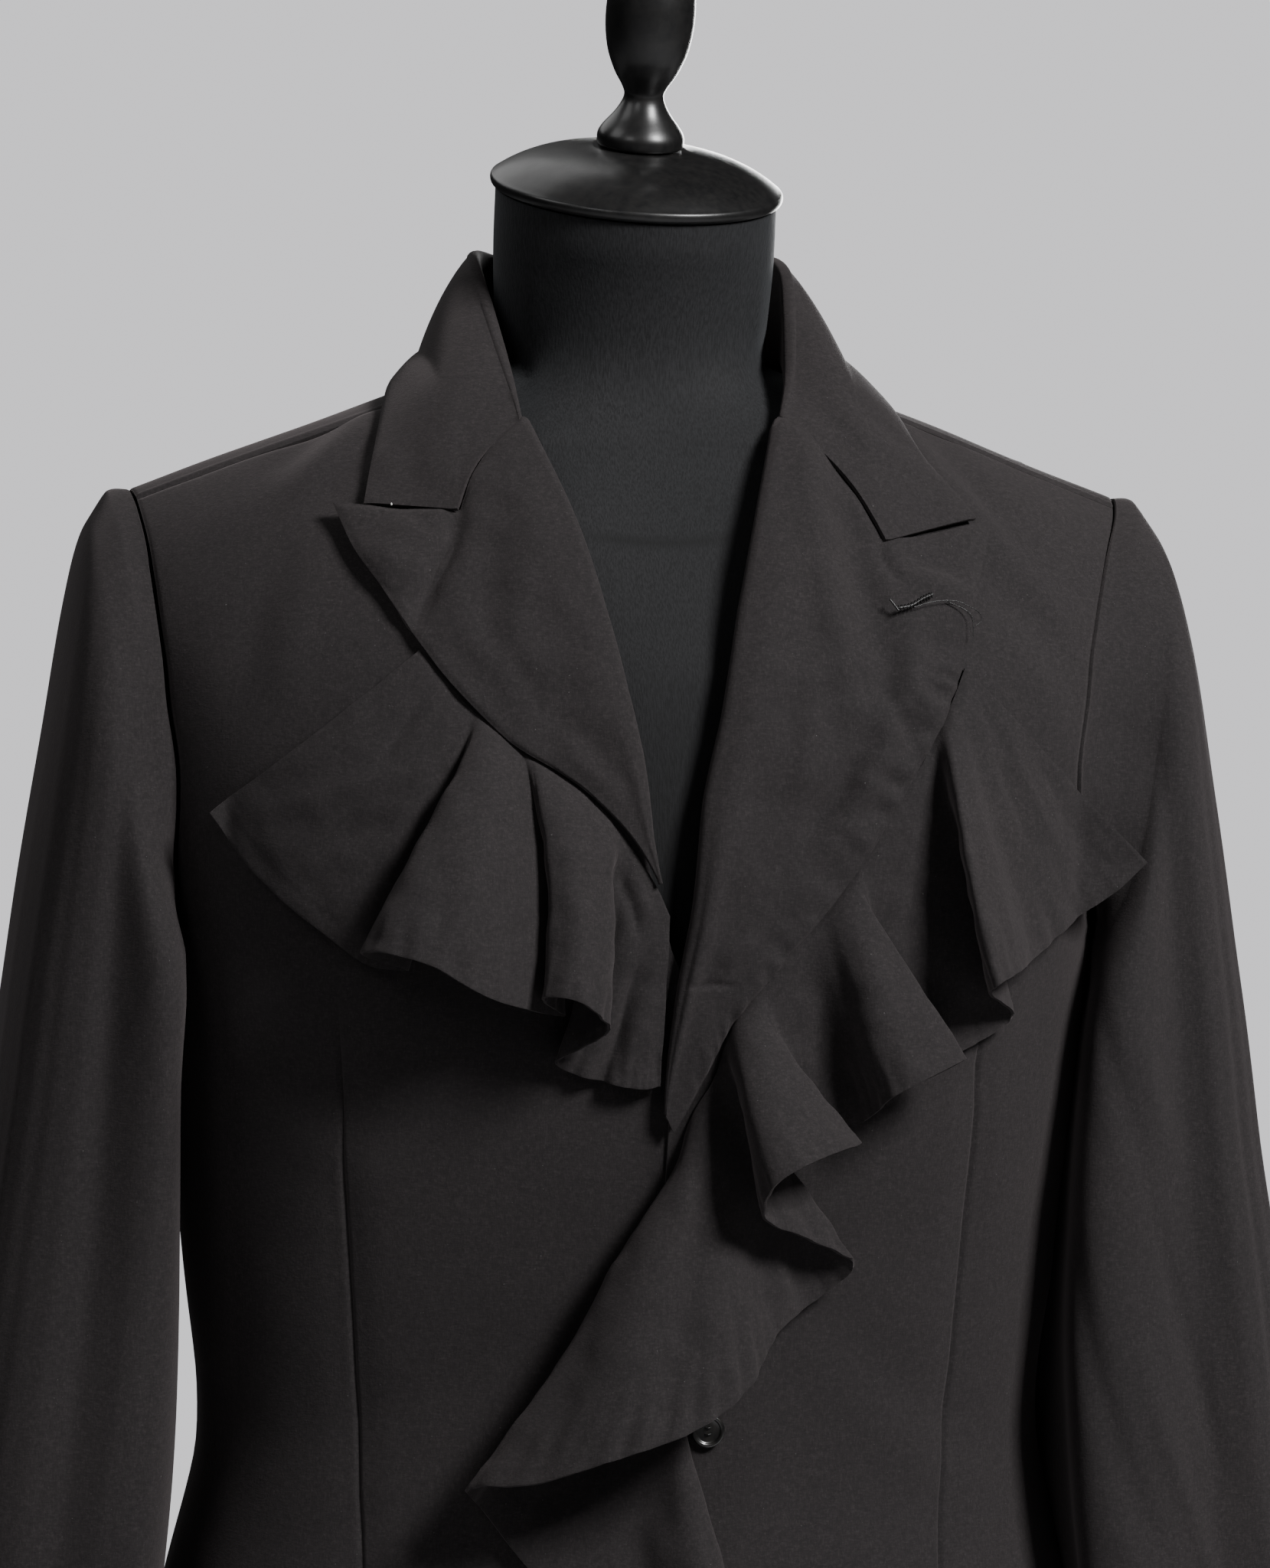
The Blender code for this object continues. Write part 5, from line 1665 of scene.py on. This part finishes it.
def declareCloth():
    rests = "dress_form_torso"
    cuts = (
        (frontLeft, (0.30, 0.68), "hung", rests, 0.162),
        (frontRight, (0.31, 0.68), "hung", rests, 0.170),
        (backLeft, (0.25, 0.72), "hung", rests, 0.163),
        (backRight, (0.25, 0.72), "hung", rests, 0.163),
        (sleeveLeft, (0.44, 0.62), "hung", frontLeft.name, 0.215),
        (sleeveRight, (0.44, 0.62), "hung", frontRight.name, 0.202),
        (collarPiece, (0.52, 0.12), "folded", backLeft.name, 0.052),
        (lapelLeft, (0.15, 0.34), "folded", frontLeft.name, 0.023),
        (lapelRight, (0.145, 0.24), "folded", frontRight.name, 0.013),
        (ruffleLeft, (0.440, 0.377), "gathered", frontLeft.name, 0.067),
        (ruffleRight, (0.320, 0.150), "gathered", frontRight.name, 0.028),
    )
    for piece, flat, held, under, area in cuts:
        print("cut", piece.name, round(clothArea(piece), 4), area)


declareCloth()


# Floor, light and camera

studio = {
    "floorSize": 8.0,
    "backdrop": (0.93, 0.92, 0.95, 1.0),
    "ambient": 0.018,
    "ambientTint": (0.95, 0.97, 1.0, 1.0),
    # power, size, place, aimed at
    "key": (150.0, 0.70, (1.28, -1.72, 2.78), (0.0, 0.0, 1.25)),
    "fill": (10.0, 0.9, (-1.5, -2.1, 2.7), (0.0, 0.0, 1.25)),
    "side": (7.0, 0.9, (-1.5, -0.3, 2.7), (0.0, 0.0, 1.40)),
    "rim": (11.0, 1.6, (-0.7, 1.3, 2.9), (0.0, 0.0, 1.35)),
    "back": (70.0, 1.0, (0.9, 2.4, 1.7), (0.0, 0.0, 1.15)),
}

photoCamera = {
    "azimuth": math.radians(-10.0),
    "elevation": math.radians(3.4),
    "roll": math.radians(0.6),
    "distance": 2.4,
    "lens": 124.0,
    "sensor": 36.0,
    "aim": Vector((0.0045, 0.0, 1.27)),
}


def makeStage():
    bm = bmesh.new()
    bmesh.ops.create_grid(bm, x_segments=1, y_segments=1, size=studio["floorSize"] / 2)
    mesh = bpy.data.meshes.new("studio_floor")
    bm.to_mesh(mesh)
    bm.free()
    floor = bpy.data.objects.new("studio_floor", mesh)
    bpy.context.scene.collection.objects.link(floor)
    mesh.materials.append(paleFloor)
    world = bpy.data.worlds.new("studio")
    bpy.context.scene.world = world
    world.use_nodes = True
    tree = world.node_tree
    seen = tree.nodes["Background"]
    seen.inputs["Color"].default_value = studio["backdrop"]
    light = tree.nodes.new("ShaderNodeBackground")
    light.inputs["Color"].default_value = studio["ambientTint"]
    light.inputs["Strength"].default_value = studio["ambient"]
    path = tree.nodes.new("ShaderNodeLightPath")
    mix = tree.nodes.new("ShaderNodeMixShader")
    tree.links.new(path.outputs["Is Camera Ray"], mix.inputs[0])
    tree.links.new(light.outputs[0], mix.inputs[1])
    tree.links.new(seen.outputs[0], mix.inputs[2])
    tree.links.new(mix.outputs[0], tree.nodes["World Output"].inputs[0])
    for name in ("key", "fill", "side", "rim", "back"):
        power, size, place, aim = studio[name]
        lamp = bpy.data.lights.new(name, "AREA")
        lamp.energy = power
        lamp.size = size
        holder = bpy.data.objects.new(name, lamp)
        holder.visible_camera = False
        holder.location = place
        holder.rotation_euler = (Vector(aim) - Vector(place)).to_track_quat("-Z", "Y").to_euler()
        bpy.context.scene.collection.objects.link(holder)


def makeCamera():
    look = photoCamera
    camera = bpy.data.objects.new("camera", bpy.data.cameras.new("camera"))
    bpy.context.scene.collection.objects.link(camera)
    azimuth, elevation, roll = look["azimuth"], look["elevation"], look["roll"]
    back = Vector((math.sin(azimuth) * math.cos(elevation), -math.cos(azimuth) * math.cos(elevation),
                   math.sin(elevation)))
    right = (-back).cross(Vector((0, 0, 1))).normalized()
    up = right.cross(-back)
    turnedRight = right * math.cos(roll) + up * math.sin(roll)
    turnedUp = -right * math.sin(roll) + up * math.cos(roll)
    place = Matrix((turnedRight, turnedUp, back)).transposed().to_4x4()
    place.translation = look["aim"] + back * look["distance"]
    camera.matrix_world = place
    camera.data.lens = look["lens"]
    camera.data.sensor_width = look["sensor"]
    camera.data.sensor_fit = "AUTO"
    bpy.context.scene.camera = camera


makeStage()
makeCamera()
print("stage, light and camera made")
